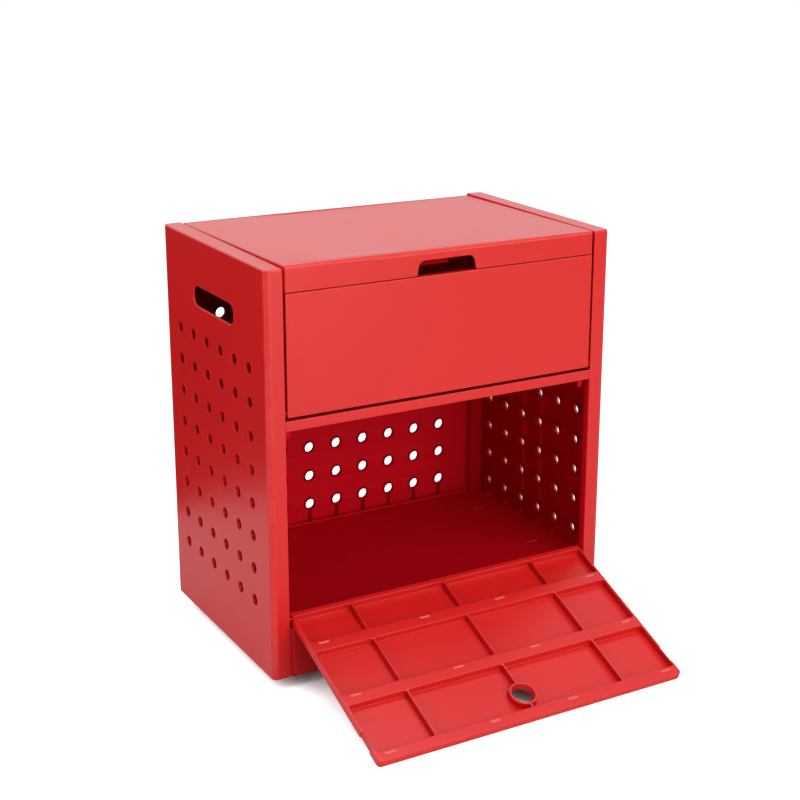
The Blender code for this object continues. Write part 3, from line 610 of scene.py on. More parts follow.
def side_tray(name, side):
    """Skin, rounded corner, flange, lip and inner skin of one side; side is -1 or +1."""
    tray = Moulding(name)
    middle_y = (FRONT_Y + REAR_Y) / 2
    middle_z = (SIDE_FOOT + SIDE_TOP) / 2
    tray.face((side * HALF_WIDTH, middle_y, middle_z), BACKWARD, UP, (-side, 0, 0))
    half_y = (REAR_Y - FRONT_Y) / 2
    half_z = (SIDE_TOP - SIDE_FOOT) / 2
    whole = centred(half_y, half_z)

    depth, inset_y, inset_z = two_roundings(SIDE_CORNER, SIDE_EDGE)
    skin = outline(centred(half_y - inset_y, half_z - inset_z), (TRAY_CORNER - inset_z)[:, None])
    inset, rise = rounding(LIP_EDGE, LIP_STEPS)
    lip = outline(whole, TRAY_CORNER, inset[::-1])
    tray.band(np.concatenate([skin, lip]), np.concatenate([depth, FLANGE - rise[::-1]]),
              edge_strips(len(skin) - 1, LIP_STEPS))

    lip_back = FLANGE - LIP_WALL
    mouth = outline(whole, LIP + MOUTH_CORNER, LIP - np.concatenate([inset, inset[::-1]]))
    mouth_depth = np.concatenate([FLANGE - rise, lip_back + rise[::-1]])
    tray.band(mouth, mouth_depth, edge_strips(LIP_STEPS, LIP_STEPS))
    inner = outline(whole, WALL + MOUTH_CORNER, WALL + np.concatenate([inset, inset[::-1]]))
    tray.band(inner, np.concatenate([lip_back - rise, WALL + rise[::-1]]))
    bores = [circles((pivot[1] - middle_y, pivot[2] - middle_z), (PIN_BORE, PIN_BORE), PIN_SIDES)
             for pivot in (LOWER_PIVOT, UPPER_PIVOT)]
    for bore in bores:
        tray.band(bore, (FLANGE, lip_back))
    tray.flat(lip[-1], FLANGE, [mouth[0]] + [bore[0] for bore in bores])
    tray.flat(inner[0], lip_back, [mouth[-1]] + [bore[1] for bore in bores])

    columns = FRONT_Y + PEG_INSET + np.arange(PEG_COLUMNS) * PEG_PITCH - middle_y
    rows = PEG_FIRST_Z + np.arange(PEG_ROWS) * PEG_PITCH - middle_z
    near_rims, far_rims = peg_holes(tray, columns, rows, collar_levels(SIDE_COLLAR))
    carry_corners = centred(*CARRY_HALF) + (CARRY_Y - middle_y, CARRY_Z - middle_z)
    carry, carry_depth, carry_worn = through(carry_corners, CARRY_CORNER, CARRY_EDGE, 0, WALL, -1)
    tray.band(carry, carry_depth, carry_worn)
    tray.flat(skin[0], 0, near_rims + [carry[0]])
    # painted shade over the whole inner skin of the side
    tray.pale_and_painted_shade = -SKIN_SHADE
    tray.flat(inner[-1], WALL, far_rims + [carry[-1]])
    tray.pale_and_painted_shade = 0.0
    return tray


# %% Ledges, bosses, posts, stops and weld lines of the sides
LEDGE_WIDTH = 0.008
LEDGE_THICKNESS = 0.0027
LEDGE_INSET = 0.020
LID_PIVOT_Y = REAR_Y - 0.011
LID_PIVOT_Z = lid_high[2] - 0.0063
BOSS_SIZE = 0.017
BOSS_DROP = 0.010
BOSS_REACH = 0.0046
STOP_Z = upper_high[2] - 0.0065
STOP_HEIGHT = 0.015
STOP_Y = FRONT_Y + DOOR_THICKNESS + 0.0005
KNIT_COLUMNS = (2, 3)
KNIT_ROWS = 5
KNIT_HALF = 0.0032
KNIT_RISE = 0.0007
POST_DEPTH = 0.019
POST_SHADE = 0.2


def add_side_fittings(tray, side):
    """Rounded blocks that stand on the inner skin and on the lip; each sinks a little into the wall."""
    tray.face((side * HALF_WIDTH, 0, 0), BACKWARD, UP, (-side, 0, 0))
    for column in KNIT_COLUMNS:
        y = FRONT_Y + PEG_INSET + column * PEG_PITCH
        for row in range(KNIT_ROWS):
            z = PEG_FIRST_Z + (row + 0.5) * PEG_PITCH
            line = centred(KNIT_HALF, PEG_PITCH / 2 - COLLAR_FOOT) + (y, z)
            tray.slab(line, WALL - SINK, WALL + KNIT_RISE, edge=KNIT_RISE / 2)
    for under in (FLOOR_TOP - WALL - TOUCH, SHELF_PLATE_FOOT - TOUCH):
        ledge = rectangle(FRONT_Y + LEDGE_INSET, REAR_Y - LEDGE_INSET, under - LEDGE_THICKNESS, under)
        tray.slab(ledge, WALL - SINK, WALL + LEDGE_WIDTH)
    foot = LID_PIVOT_Z - BOSS_DROP
    start = LID_PIVOT_Y - BOSS_DROP
    boss = rectangle(start, start + BOSS_SIZE, foot, SIDE_TOP - WALL + SINK)
    tray.slab(boss, FLANGE - LIP_WALL - BOSS_REACH, FLANGE - TOUCH)
    post = rectangle(REAR_Y - POST_DEPTH, back_low[1] - TOUCH, FLOOR_TOP - TOUCH, foot)
    # painted shade on the corner post
    tray.pale_and_painted_shade = -POST_SHADE
    tray.slab(post, WALL - SINK, FLANGE - TOUCH, edge=LIP_EDGE)
    tray.pale_and_painted_shade = 0.0
    stop = rectangle(STOP_Y, STOP_Y + WALL, STOP_Z - STOP_HEIGHT, STOP_Z)
    tray.slab(stop, FLANGE - LIP_WALL, HALF_WIDTH - upper_high[0] + WALL)


for word, side in (("left", -1), ("right", 1)):
    tray = side_tray(word + "_pegboard_side", side)
    add_side_fittings(tray, side)
    dress(tray.make(), "cabinet", "shell_red", shell_red, "side_panel_" + word)


# %% [markdown]
# ## The pegboard back
# The back is one flat board of 3 mm that stands between the rear lips of the sides. It carries nine
# columns of the same holes. Under each hole of the lowest row a small gusset reaches down to the floor,
# and the foot of the board is set back so that it drops behind the floor.

# %% The back board
BACK_FACE_Y = back_low[1]
BACK_CORNER = 0.0012
BACK_EDGE = 0.0007
FOOT_SETBACK = 0.0019
FOOT_EDGE = 0.0003
STEP_Z = FLOOR_TOP + 0.004
GUSSET_REACH = 0.0045
GUSSET_HALF = 0.0016
GUSSET_EDGE = 0.0003
GUSSET_SHADE = 0.55


def back_board():
    """A slab with holes, gussets on its front face, and a thinner foot under it."""
    board = Moulding("pegboard_back")
    board.face((0, BACK_FACE_Y, 0), ACROSS, UP, BACKWARD)
    columns = (np.arange(PEG_BACK_COLUMNS) - (PEG_BACK_COLUMNS - 1) / 2) * PEG_PITCH
    rows = PEG_FIRST_Z + PEG_BACK_LIFT + np.arange(PEG_ROWS) * PEG_PITCH
    far_rims, near_rims = peg_holes(board, columns, rows, WALL - collar_levels(BACK_COLLAR))
    plate = rectangle(back_low[0], back_high[0], STEP_Z, back_high[2])
    loops, depths, worn = through(plate, BACK_CORNER, BACK_EDGE, 0, WALL, 1)
    board.band(loops, depths, worn)
    board.flat(loops[0], 0, near_rims)
    board.flat(loops[-1], WALL, far_rims)
    foot = rectangle(back_low[0], back_high[0], back_low[2], STEP_Z + BACK_CORNER)
    board.slab(foot, FOOT_SETBACK, WALL - TOUCH, BACK_CORNER, FOOT_EDGE)
    board.face((0, BACK_FACE_Y, 0), (0, -1, 0), UP, ACROSS)
    head = rows[0] - COLLAR_HEAD
    gusset = [(-SINK, FLOOR_TOP), (GUSSET_REACH, FLOOR_TOP), (BACK_COLLAR, head), (-SINK, head)]
    # painted shade on the gussets under the lowest holes
    board.pale_and_painted_shade = -GUSSET_SHADE
    for column in columns:
        board.slab(gusset, column - GUSSET_HALF, column + GUSSET_HALF, GUSSET_EDGE, GUSSET_EDGE)
    return board


dress(back_board().make(), "cabinet", "shell_red", shell_red, "back_panel")


# %% [markdown]
# ## The base
# The base is one moulding: a floor, a kick board under the lower door, low walls and ribs below, and four
# bosses for the feet. Its section from front to back is the same all along, so that section is an outline
# carried from the left end to the right, and the walls at the ends close it. Small gussets stand along
# both ends of the floor, and a faint mark lies near each of its corners.

# %% Floor, kick board and walls
BASE_REAR_Y = REAR_Y - 0.012
BASE_X = LIP_X - 0.0027
KICK_EDGE = 0.0009
BASE_END_GAP = 0.0008
END_FRONT_GAP = 0.0002
RIB_DEPTH = 0.012
RIB_HALF = 0.00125
FOOT_X = HALF_WIDTH - 0.056
FOOT_YS = (FRONT_Y + 0.040, REAR_Y - 0.042)
BOSS_RADII = (0.0042, 0.0042, 0.0047, 0.0085, 0.0090, 0.0090, 0.0042)
WING_X = HALF_WIDTH - WALL - TOUCH
WING_FRONT_Y = FRONT_Y + 0.011
STRIP_SETBACK = 0.0025
STRIP_X = (BASE_X - 0.0012, LIP_X - TOUCH)
WING_REAR_Y = REAR_Y - 0.0135
BOSS_ROUND = 0.0010
SIDE_GUSSET = (0.0110, 0.0060)
WING_GUSSET_HALF = 0.0014
FLOOR_MARK = (0.0070, 0.0012)
FLOOR_MARK_PALE = 0.55
FLOOR_MARK_X = 0.1715
FLOOR_MARK_YS = (0.034, 0.160)
FLOOR_MARK_RISE = 0.0002


def base_moulding():
    """A channel section carried along X, closed by end walls, with ribs, bosses and side wings."""
    tub = Moulding("base_moulding")
    tub.face((0, 0, 0), BACKWARD, UP, ACROSS)
    plate_foot = FLOOR_TOP - WALL
    section = [(FRONT_Y, SIDE_FOOT), (FRONT_Y + WALL, SIDE_FOOT), (FRONT_Y + WALL, plate_foot),
               (BASE_REAR_Y - WALL, plate_foot), (BASE_REAR_Y - WALL, SIDE_FOOT), (BASE_REAR_Y, SIDE_FOOT),
               (BASE_REAR_Y, KICK_TOP), (BASE_REAR_Y - WALL, KICK_TOP), (BASE_REAR_Y - WALL, FLOOR_TOP),
               (FRONT_Y + WALL, FLOOR_TOP), (FRONT_Y + WALL, KICK_TOP), (FRONT_Y, KICK_TOP)]
    tub.carried(outline(section, KICK_EDGE)[0], BASE_X - BASE_END_GAP)
    end_wall = rectangle(FRONT_Y + END_FRONT_GAP, BASE_REAR_Y - END_FRONT_GAP, SIDE_FOOT, FLOOR_TOP - TOUCH)
    rib = rectangle(FRONT_Y + WALL - SINK, BASE_REAR_Y - WALL + SINK,
                    plate_foot - RIB_DEPTH, plate_foot + SINK)
    for x in (-BASE_X, BASE_X - WALL):
        tub.slab(end_wall, x, x + WALL, KICK_EDGE)
    for x in (-FOOT_X, FOOT_X):
        tub.slab(rib, x - RIB_HALF, x + RIB_HALF)
    strip = rectangle(FRONT_Y + STRIP_SETBACK, FRONT_Y + STRIP_SETBACK + WALL, SIDE_FOOT, FLOOR_TOP - TOUCH)
    for x in (-STRIP_X[1], STRIP_X[0]):
        tub.slab(strip, x, x + STRIP_X[1] - STRIP_X[0])

    tub.face((0, 0, 0), ACROSS, UP, BACKWARD)
    cross = rectangle(WALL - BASE_X - SINK, BASE_X - WALL + SINK, plate_foot - RIB_DEPTH, plate_foot + SINK)
    for y in FOOT_YS:
        tub.slab(cross, y - RIB_HALF, y + RIB_HALF)
    tub.face((0, 0, 0), ACROSS, BACKWARD, UP)
    for left, right in ((-WING_X, WALL - BASE_X), (BASE_X - WALL, WING_X)):
        wing = rectangle(left, right, WING_FRONT_Y, WING_REAR_Y)
        tub.slab(wing, plate_foot, FLOOR_TOP - TOUCH / 2)
    tub.pale_and_painted_shade = FLOOR_MARK_PALE
    for y in FLOOR_MARK_YS:
        for x in (FLOOR_MARK_X, -FLOOR_MARK_X):
            mark = centred(*FLOOR_MARK) + (x, y)
            head = FLOOR_TOP + FLOOR_MARK_RISE
            tub.slab(mark, FLOOR_TOP - SINK, head, FLOOR_MARK_RISE, FLOOR_MARK_RISE / 2)
    tub.pale_and_painted_shade = 0.0
    for side in (-1, 1):
        tub.face((side * WING_X, 0, FLOOR_TOP), (-side, 0, 0), UP, BACKWARD)
        gusset = [(-SINK, -SINK), (SIDE_GUSSET[0], -SINK), (-SINK, SIDE_GUSSET[1])]
        for column in FRONT_Y + PEG_INSET + np.arange(PEG_COLUMNS) * PEG_PITCH:
            tub.slab(gusset, column - WING_GUSSET_HALF, column + WING_GUSSET_HALF, GUSSET_EDGE, GUSSET_EDGE)
    head, low, foot = plate_foot + SINK, SIDE_FOOT + BOSS_ROUND, SIDE_FOOT + TOUCH
    for x in (-FOOT_X, FOOT_X):
        for y in FOOT_YS:
            tub.face((x, y, 0), ACROSS, BACKWARD, UP)
            tub.turned(BOSS_RADII, (head, low, foot, foot, low, head, head))
    return tub


dress(base_moulding().make(), "cabinet", "shell_red", shell_red, "base")


# %% [markdown]
# ## The shelf
# Between the doors runs a rail of 11 mm, the only part of the shelf that shows with the doors closed. The
# plate behind it starts half way up the rail and reaches to the back board, and two small catches hang
# down behind the rail to hold the lower door.

# %% Rail, plate, wings and catches
RAIL_EDGE = 0.0008
CATCH_X = upper_high[0] - 0.0007
CATCH_WIDTH = 0.006
CATCH_DROP = 0.011
CATCH_EDGE = 0.0009
SHELF_WING_REAR_Y = REAR_Y - 0.011


def shelf_moulding():
    """A section like a T on its side, carried from one lip to the other, with wings and catches."""
    shelf = Moulding("shelf_moulding")
    shelf.face((0, 0, 0), BACKWARD, UP, ACROSS)
    rear = BACK_FACE_Y - TOUCH
    section = [(FRONT_Y, RAIL_FOOT), (FRONT_Y + WALL, RAIL_FOOT), (FRONT_Y + WALL, SHELF_PLATE_FOOT),
               (rear, SHELF_PLATE_FOOT), (rear, SHELF_PLATE_TOP), (FRONT_Y + WALL, SHELF_PLATE_TOP),
               (FRONT_Y + WALL, shelf_high[2]), (FRONT_Y, shelf_high[2])]
    shelf.carried(outline(section, RAIL_EDGE)[0], LIP_X - TOUCH)
    shelf.face((0, 0, 0), ACROSS, BACKWARD, UP)
    for left, right in ((-WING_X, WALL - LIP_X), (LIP_X - WALL, WING_X)):
        wing = rectangle(left, right, WING_FRONT_Y, SHELF_WING_REAR_Y)
        shelf.slab(wing, SHELF_PLATE_FOOT, SHELF_PLATE_TOP - TOUCH / 2)
    shelf.face((0, 0, 0), ACROSS, UP, BACKWARD)
    for left in (-CATCH_X, CATCH_X - CATCH_WIDTH):
        catch = rectangle(left, left + CATCH_WIDTH, RAIL_FOOT - CATCH_DROP, SHELF_PLATE_FOOT + SINK)
        shelf.slab(catch, STOP_Y, STOP_Y + WALL, CATCH_EDGE)
    return shelf


dress(shelf_moulding().make(), "cabinet", "shell_red", shell_red, "middle_shelf")


# %% [markdown]
# ## The lid
# The lid is a shallow tray turned over, hinged at the back, with a deeper skirt in front that has a finger
# slot in its lower edge and a rib behind the slot to grip. Its wall is one surface of two parameters: the
# place along the rim, and the way from the top over the rounded edge, down the wall, round its lower edge
# and up the inside. Only the height of the lower edge changes along the rim, which draws skirt and slot.

# %% Rim of the lid
LID_X = LIP_X - 0.0018
LID_FRONT_ROUND = 0.003
LID_EDGE = 0.0012
LID_CORNER = 0.003
LID_SKIRT = 0.024
LID_SIDE = 0.011
LID_RIM_EDGE = 0.0008
LID_RIB_FOOT = 0.006
SLOT_FOOT_HALF = 0.0373
SLOT_HEAD_HALF = 0.0342
SLOT_HEIGHT = 0.0149
SLOT_ROUND = 0.0080
SLOT_FOOT_ROUND = 0.0015
SLOT_STEPS = 8
STEP_GAP = 0.00015


def slot_edge():
    """The skirt's lower edge at the finger slot: places along X and heights above the skirt's foot."""
    margin = 2 * SLOT_ROUND
    wide = SLOT_FOOT_HALF + margin
    corners = [(-wide, 0), (-SLOT_FOOT_HALF, 0), (-SLOT_HEAD_HALF, SLOT_HEIGHT),
               (SLOT_HEAD_HALF, SLOT_HEIGHT), (SLOT_FOOT_HALF, 0), (wide, 0),
               (wide, -margin), (-wide, -margin)]
    tight = SLOT_ROUND / 10
    radius = np.array([tight, SLOT_FOOT_ROUND, SLOT_ROUND, SLOT_ROUND, SLOT_FOOT_ROUND, tight, tight, tight])
    path = outline(np.array(corners)[::-1], radius[::-1], steps=SLOT_STEPS)[0][::-1]
    arc = SLOT_STEPS + 1
    return path[arc:5 * arc].T


SLOT_X, SLOT_RISE = slot_edge()


def lid_loops(left, right, front, rear, radius):
    """Rim loops with extra points along the finger slot and where the skirt steps up to the side walls."""
    base = outline(rectangle(left, right, front, rear), radius[:, None])
    count = base.shape[1] // 4
    step_y = np.maximum(FRONT_Y + WALL + STEP_GAP, front + radius + STEP_GAP)
    slot = np.stack(np.broadcast_arrays(SLOT_X, front[:, None]), axis=-1)
    ahead = np.stack([np.stack([right, step_y], -1), np.stack([right, step_y + STEP_GAP], -1)], axis=1)
    behind = np.stack([np.stack([left, step_y + STEP_GAP], -1), np.stack([left, step_y], -1)], axis=1)
    near_left, near_right, far = np.split(base, (count, 2 * count), axis=1)
    return np.concatenate([near_left, slot, near_right, ahead, far, behind], axis=1)


def lid_low_edge():
    """Depth of the lower edge under the lid's top at each point of a rim loop."""
    arc = CORNER_STEPS + 1
    skirt = np.full(arc, LID_SKIRT)
    wall = np.full(2 * arc, LID_SIDE)
    step = [LID_SKIRT, LID_SIDE]
    return np.concatenate([skirt, LID_SKIRT - SLOT_RISE, skirt, step, wall, step[::-1]])


def closer_points(loops, low, longest):
    """Split the long steps of all the loops alike, so that none is longer than this, and their depths."""
    step = np.linalg.norm(np.roll(loops[0], -1, axis=0) - loops[0], axis=1)
    parts = np.maximum(np.ceil(step / longest), 1).astype(int)
    start = np.repeat(np.arange(len(step)), parts)
    share = np.concatenate([np.arange(part) / part for part in parts])
    ahead = (start + 1) % len(step)
    fine = loops[:, start] + share[:, None] * (loops[:, ahead] - loops[:, start])
    return fine, low[start] + share * (low[ahead] - low[start])


# %% The bow of the lid
FRONT_BOW = 0.0021
CURL = (0.0026, 0.0014)
CURL_SPAN = (0.04, 0.16)


def bow_lid(points):
    """Raise the lid as its moulding has warped: flush with the sides in front, level at the rear, with a
    smooth curl up to the left. The foot of the skirt stays where it is."""
    away = np.clip((points[:, 1] - FRONT_Y) / (lid_high[1] - FRONT_Y), 0, 1)
    left = np.clip((-points[:, 0] - CURL_SPAN[0]) / (CURL_SPAN[1] - CURL_SPAN[0]), 0, 1)
    left = left * left * (3 - 2 * left)
    rise = FRONT_BOW * (1 - away) + left * (CURL[0] * (1 - away) + CURL[1] * away)
    above_foot = np.clip((points[:, 2] - lid_high[2]) / LID_SKIRT + 1, 0, 1)
    points[:, 2] += rise * above_foot


# %% The lid's surface
LID_BAYS = (4, 2)
LID_RIB = 0.0025
LID_BLOCK = 0.0127
LID_BLOCK_LENGTH = 0.013
BAY_CORNER = 0.0015
LID_STEP = 0.012
TOP_MARGIN = 0.004
TOP_LINES = (33, 13)
GRIP_SETBACK = 0.011
GRIP_X = (-0.045, 0.008)
GRIP_DEPTH = 0.0160
GRIP_WALL = 0.0025
GRIP_SHADE = 0.55


def lid_moulding():
    """Top, rounded edge, wall with its changing lower edge, and a ribbed underside."""
    lid = Moulding("lid_moulding")
    lid.face((0, 0, lid_high[2]), ACROSS, BACKWARD, DOWN)
    depth, ahead, beside = two_roundings(LID_FRONT_ROUND, LID_EDGE)
    inset, rise = rounding(LID_RIM_EDGE)
    inner = WALL + inset[::-1]
    low = lid_low_edge()
    fronts = np.concatenate([ahead, inset[::-1], WALL - inset, inner])
    sides = np.concatenate([beside, inset[::-1], WALL - inset, inner])
    opening = SMALL_EDGE + (LID_CORNER - SMALL_EDGE) * np.sin(CORNER_TURN)
    radius = np.concatenate([opening, LID_CORNER - inset[::-1], np.full(2 * len(inset), SMALL_EDGE)])
    loops = lid_loops(sides - LID_X, LID_X - sides, FRONT_Y + fronts, lid_high[1] - sides, radius)
    loops, low = closer_points(loops, low, LID_STEP)
    top = np.repeat(depth[:, None], len(low), axis=1)
    foot_out = low - rise[::-1][:, None]
    foot_in = low - rise[:, None]
    under = np.repeat((LID_RIB_FOOT + rise[::-1])[:, None], len(low), axis=1)
    worn = np.append(edge_strips(len(depth) - 1, EDGE_STEPS, EDGE_STEPS), [0.0] * (EDGE_STEPS + 1))
    lid.band(loops, np.concatenate([top, foot_out, foot_in, under]), worn)
    x_lines = np.linspace(TOP_MARGIN - LID_X, LID_X - TOP_MARGIN, TOP_LINES[0])
    y_lines = np.linspace(FRONT_Y + 2 * TOP_MARGIN, lid_high[1] - TOP_MARGIN, TOP_LINES[1])
    rows = np.stack(np.meshgrid(x_lines, y_lines), axis=-1)
    lid.flat(loops[0], 0, [np.concatenate([rows[0], rows[1:-1, -1], rows[-1, ::-1], rows[-2:0:-1, 0]])])
    lid.sheet(rows, 0)

    rims = []
    width = 2 * (LID_X - WALL)
    rear = lid_high[1] - WALL - LID_BLOCK_LENGTH
    pitch = (width / LID_BAYS[0], (rear - FRONT_Y - WALL) / LID_BAYS[1])
    for column in range(LID_BAYS[0]):
        for row in range(LID_BAYS[1]):
            left = WALL - LID_X + column * pitch[0]
            front = FRONT_Y + WALL + row * pitch[1]
            bay = rectangle(left + LID_RIB, left + pitch[0] - LID_RIB,
                            front + LID_RIB, front + pitch[1] - LID_RIB)
            rims.append(lid.pocket(bay, BAY_CORNER, LID_RIB_FOOT, WALL, SMALL_EDGE / 2, SMALL_EDGE))
    lid.flat(loops[-1], LID_RIB_FOOT, rims)
    for left, right in ((WALL - LID_X - SINK, LID_BLOCK - LID_X), (LID_X - LID_BLOCK, LID_X - WALL + SINK)):
        block = rectangle(left, right, rear, lid_high[1] - WALL + SINK)
        lid.slab(block, LID_RIB_FOOT - SINK, LID_SIDE - TOUCH)
    grip = rectangle(GRIP_X[0], GRIP_X[1], FRONT_Y + GRIP_SETBACK, FRONT_Y + GRIP_SETBACK + GRIP_WALL)
    # painted shade on the grip rib behind the finger slot
    lid.pale_and_painted_shade = -GRIP_SHADE
    lid.slab(grip, WALL - SINK, GRIP_DEPTH)
    for points in lid.points:
        bow_lid(points)
    return lid


dress(lid_moulding().make(), "lid", "shell_red", shell_red, "lid")


# %% [markdown]
# ## The doors
# Both doors are hollow-backed mouldings: a flat outer skin with a frame, cross bands and ribs standing on
# its inner face, so the inner face is a flat with pockets. The lower door hangs open, so its pockets show,
# with the draft of their walls, the small marks where plastic was fed in, and the finger hole in its boss.
# The shell and the pockets of both come from the same functions; the free edge and the extras differ.

# %% Door sizes
SHELL_SKIN = 0.0016
DOOR_EDGE = 0.0009
INNER_EDGE = 0.0007
SIDE_RIM = 0.0027
HINGE_RIM = 0.0062
RIB = 0.0021
RIB_SPACING = 0.1193
POCKET_CORNER = 0.0028
POCKET_EDGE = 0.0006
POCKET_FOOT = 0.0007
POCKET_DRAFT = 0.0003
# painted shade on the walls of the door pockets
POCKET_SHADE = 0.42


def leaf_shell(leaf, half, length, free_round, free_corner, notch=None):
    """Outer edge of a leaf: per loop, its own inset at the free edge and at the other edges. Gives back
    the outlines of the outer and of the inner face."""
    depth, free, side = two_roundings(free_round, DOOR_EDGE)
    inset, rise = rounding(INNER_EDGE)
    side = np.concatenate([side, inset[::-1]])
    free = np.concatenate([free, inset[::-1]])
    depth = np.concatenate([depth, DOOR_THICKNESS - rise[::-1]])
    right = half - side
    head = length - free
    jog = []
    if notch:
        start, end, bite = notch
        jog = [(right, start - side), (right - bite, start - side),
               (right - bite, end + side), (right, end + side)]
    path = [(-right, side), (right, side), *jog, (right, head), (-right, head)]
    path += [(-x, y) for x, y in jog[::-1]]
    tight = [SMALL_EDGE] * len(jog)
    radius = [DOOR_EDGE] * 2 + tight + [free_corner] * 2 + tight
    corners = np.stack([np.stack(np.broadcast_arrays(*point), axis=-1) for point in path], axis=1)
    loops = outline(corners, np.array(radius)[None, :])
    leaf.band(loops, depth, edge_strips(len(CORNER_TURN) - 1, EDGE_STEPS))
    return loops[0], loops[-1]


def bay_edges(half, ribs):
    """Left and right sides of the bays between the side rims and the ribs."""
    edges = [-half + SIDE_RIM - RIB / 2, *ribs, half - SIDE_RIM + RIB / 2]
    return [(left + RIB / 2, right - RIB / 2) for left, right in zip(edges, edges[1:])]


def door_pocket(leaf, corners, radius=POCKET_CORNER):
    """A pocket of a door, from its inner face down to the skin."""
    return leaf.pocket(corners, radius, DOOR_THICKNESS, SHELL_SKIN, POCKET_EDGE, POCKET_FOOT,
                       POCKET_DRAFT, POCKET_SHADE)


# %% The upper door
UPPER_HEAD_RIM = 0.004
UPPER_BAND = 0.012


def upper_door_moulding():
    """A plain skin in front, and eight pockets on its inner face."""
    leaf = Moulding("upper_door_moulding")
    leaf.face((0, FRONT_Y, upper_low[2]), ACROSS, UP, BACKWARD)
    length = upper_high[2] - upper_low[2]
    outer, inner = leaf_shell(leaf, upper_high[0], length, LID_EDGE, DOOR_EDGE)
    leaf.flat(outer, 0)
    band = (HINGE_RIM + length - UPPER_HEAD_RIM - UPPER_BAND) / 2
    rims = []
    for left, right in bay_edges(upper_high[0], [-RIB_SPACING, 0, RIB_SPACING]):
        for foot, head in ((HINGE_RIM, band), (band + UPPER_BAND, length - UPPER_HEAD_RIM)):
            rims.append(door_pocket(leaf, rectangle(left, right, foot, head)))
    leaf.flat(inner, DOOR_THICKNESS, rims)
    return leaf


dress(upper_door_moulding().make(), "upper_door", "shell_red", door_red, "upper_door")


# %% [markdown]
# ## How the lower door lies
# The door hangs open with its free edge on the ground. Its angle follows from its own sizes: the rounded
# free edge is a circle, which comes to rest where its distance from the hinge reaches down to the ground.

# %% Directions of the lower door
LOWER_LENGTH = 0.218
FREE_ROUND = 0.003
FREE_CORNER = 0.0045
GROUND_GAP = 0.0003
LOWER_HALF = LIP_X - 0.0034
VISIBLE_ROUND = 0.0020


def resting_angle():
    """Angle from closed: the one at which the centre of the free edge's rounding lies its own radius
    above the ground."""
    reach = LOWER_LENGTH - HINGE_INSET - FREE_ROUND
    offset = FREE_ROUND - DOOR_THICKNESS / 2
    drop = LOWER_PIVOT[2] - FREE_ROUND - GROUND_GAP
    return math.atan2(offset, reach) + math.acos(-drop / math.hypot(offset, reach))


DOOR_ANGLE = resting_angle()
LEAF_BACK = np.array([0, math.cos(DOOR_ANGLE), math.sin(DOOR_ANGLE)])
LEAF_UP = np.array([0, -math.sin(DOOR_ANGLE), math.cos(DOOR_ANGLE)])
LEAF_ORIGIN = LOWER_PIVOT - LEAF_BACK * DOOR_THICKNESS / 2 - LEAF_UP * HINGE_INSET
print("lower door rests at", round(math.degrees(DOOR_ANGLE), 2), "degrees")


# %% The lower door
BAND_STARTS = (0.0473, 0.1255)
BAND_ENDS = (0.0618, 0.1405)
FREE_RIM = 0.0128
FINGER_RADIUS = 0.013
FINGER_EDGE = 0.0006
FINGER_V = LOWER_LENGTH - 0.033
FINGER_SIDES = 48
FINGER_BOSS = 0.01525
BOSS_ARC = 0.0138
GATE_HALF = (0.0060, 0.0012)
GATE_DEPTH = 0.0010
GATE_CORNER = 0.0006
GATE_EDGE = 0.0002
GATE_FROM_BAND = 0.0039
GATE_X = (-0.1747, -0.0494, 0.0498, 0.1755)
NOTCH = (LOWER_LENGTH - 0.042, LOWER_LENGTH - 0.020, 0.0014)


def bay_round_boss(right, foot, head):
    """The bay to the right of the finger hole's boss: a rectangle whose left side bulges round it."""
    left = RIB / 2
    low = FINGER_V - FINGER_BOSS
    high = FINGER_V + FINGER_BOSS
    corners = [(left, foot), (right, foot), (right, head), (left, head), (left, high), (FINGER_BOSS, high),
               (FINGER_BOSS, low), (left, low)]
    radius = [POCKET_CORNER] * 3 + [POCKET_EDGE] * 2 + [BOSS_ARC] * 2 + [POCKET_EDGE]
    return np.array(corners), np.array(radius)


def mirrored_bay(corners, radius):
    """The same bay on the other side of the middle rib, with its corners in anticlockwise order again."""
    return np.stack([-corners[:, 0], corners[:, 1]], -1)[::-1], radius[::-1]


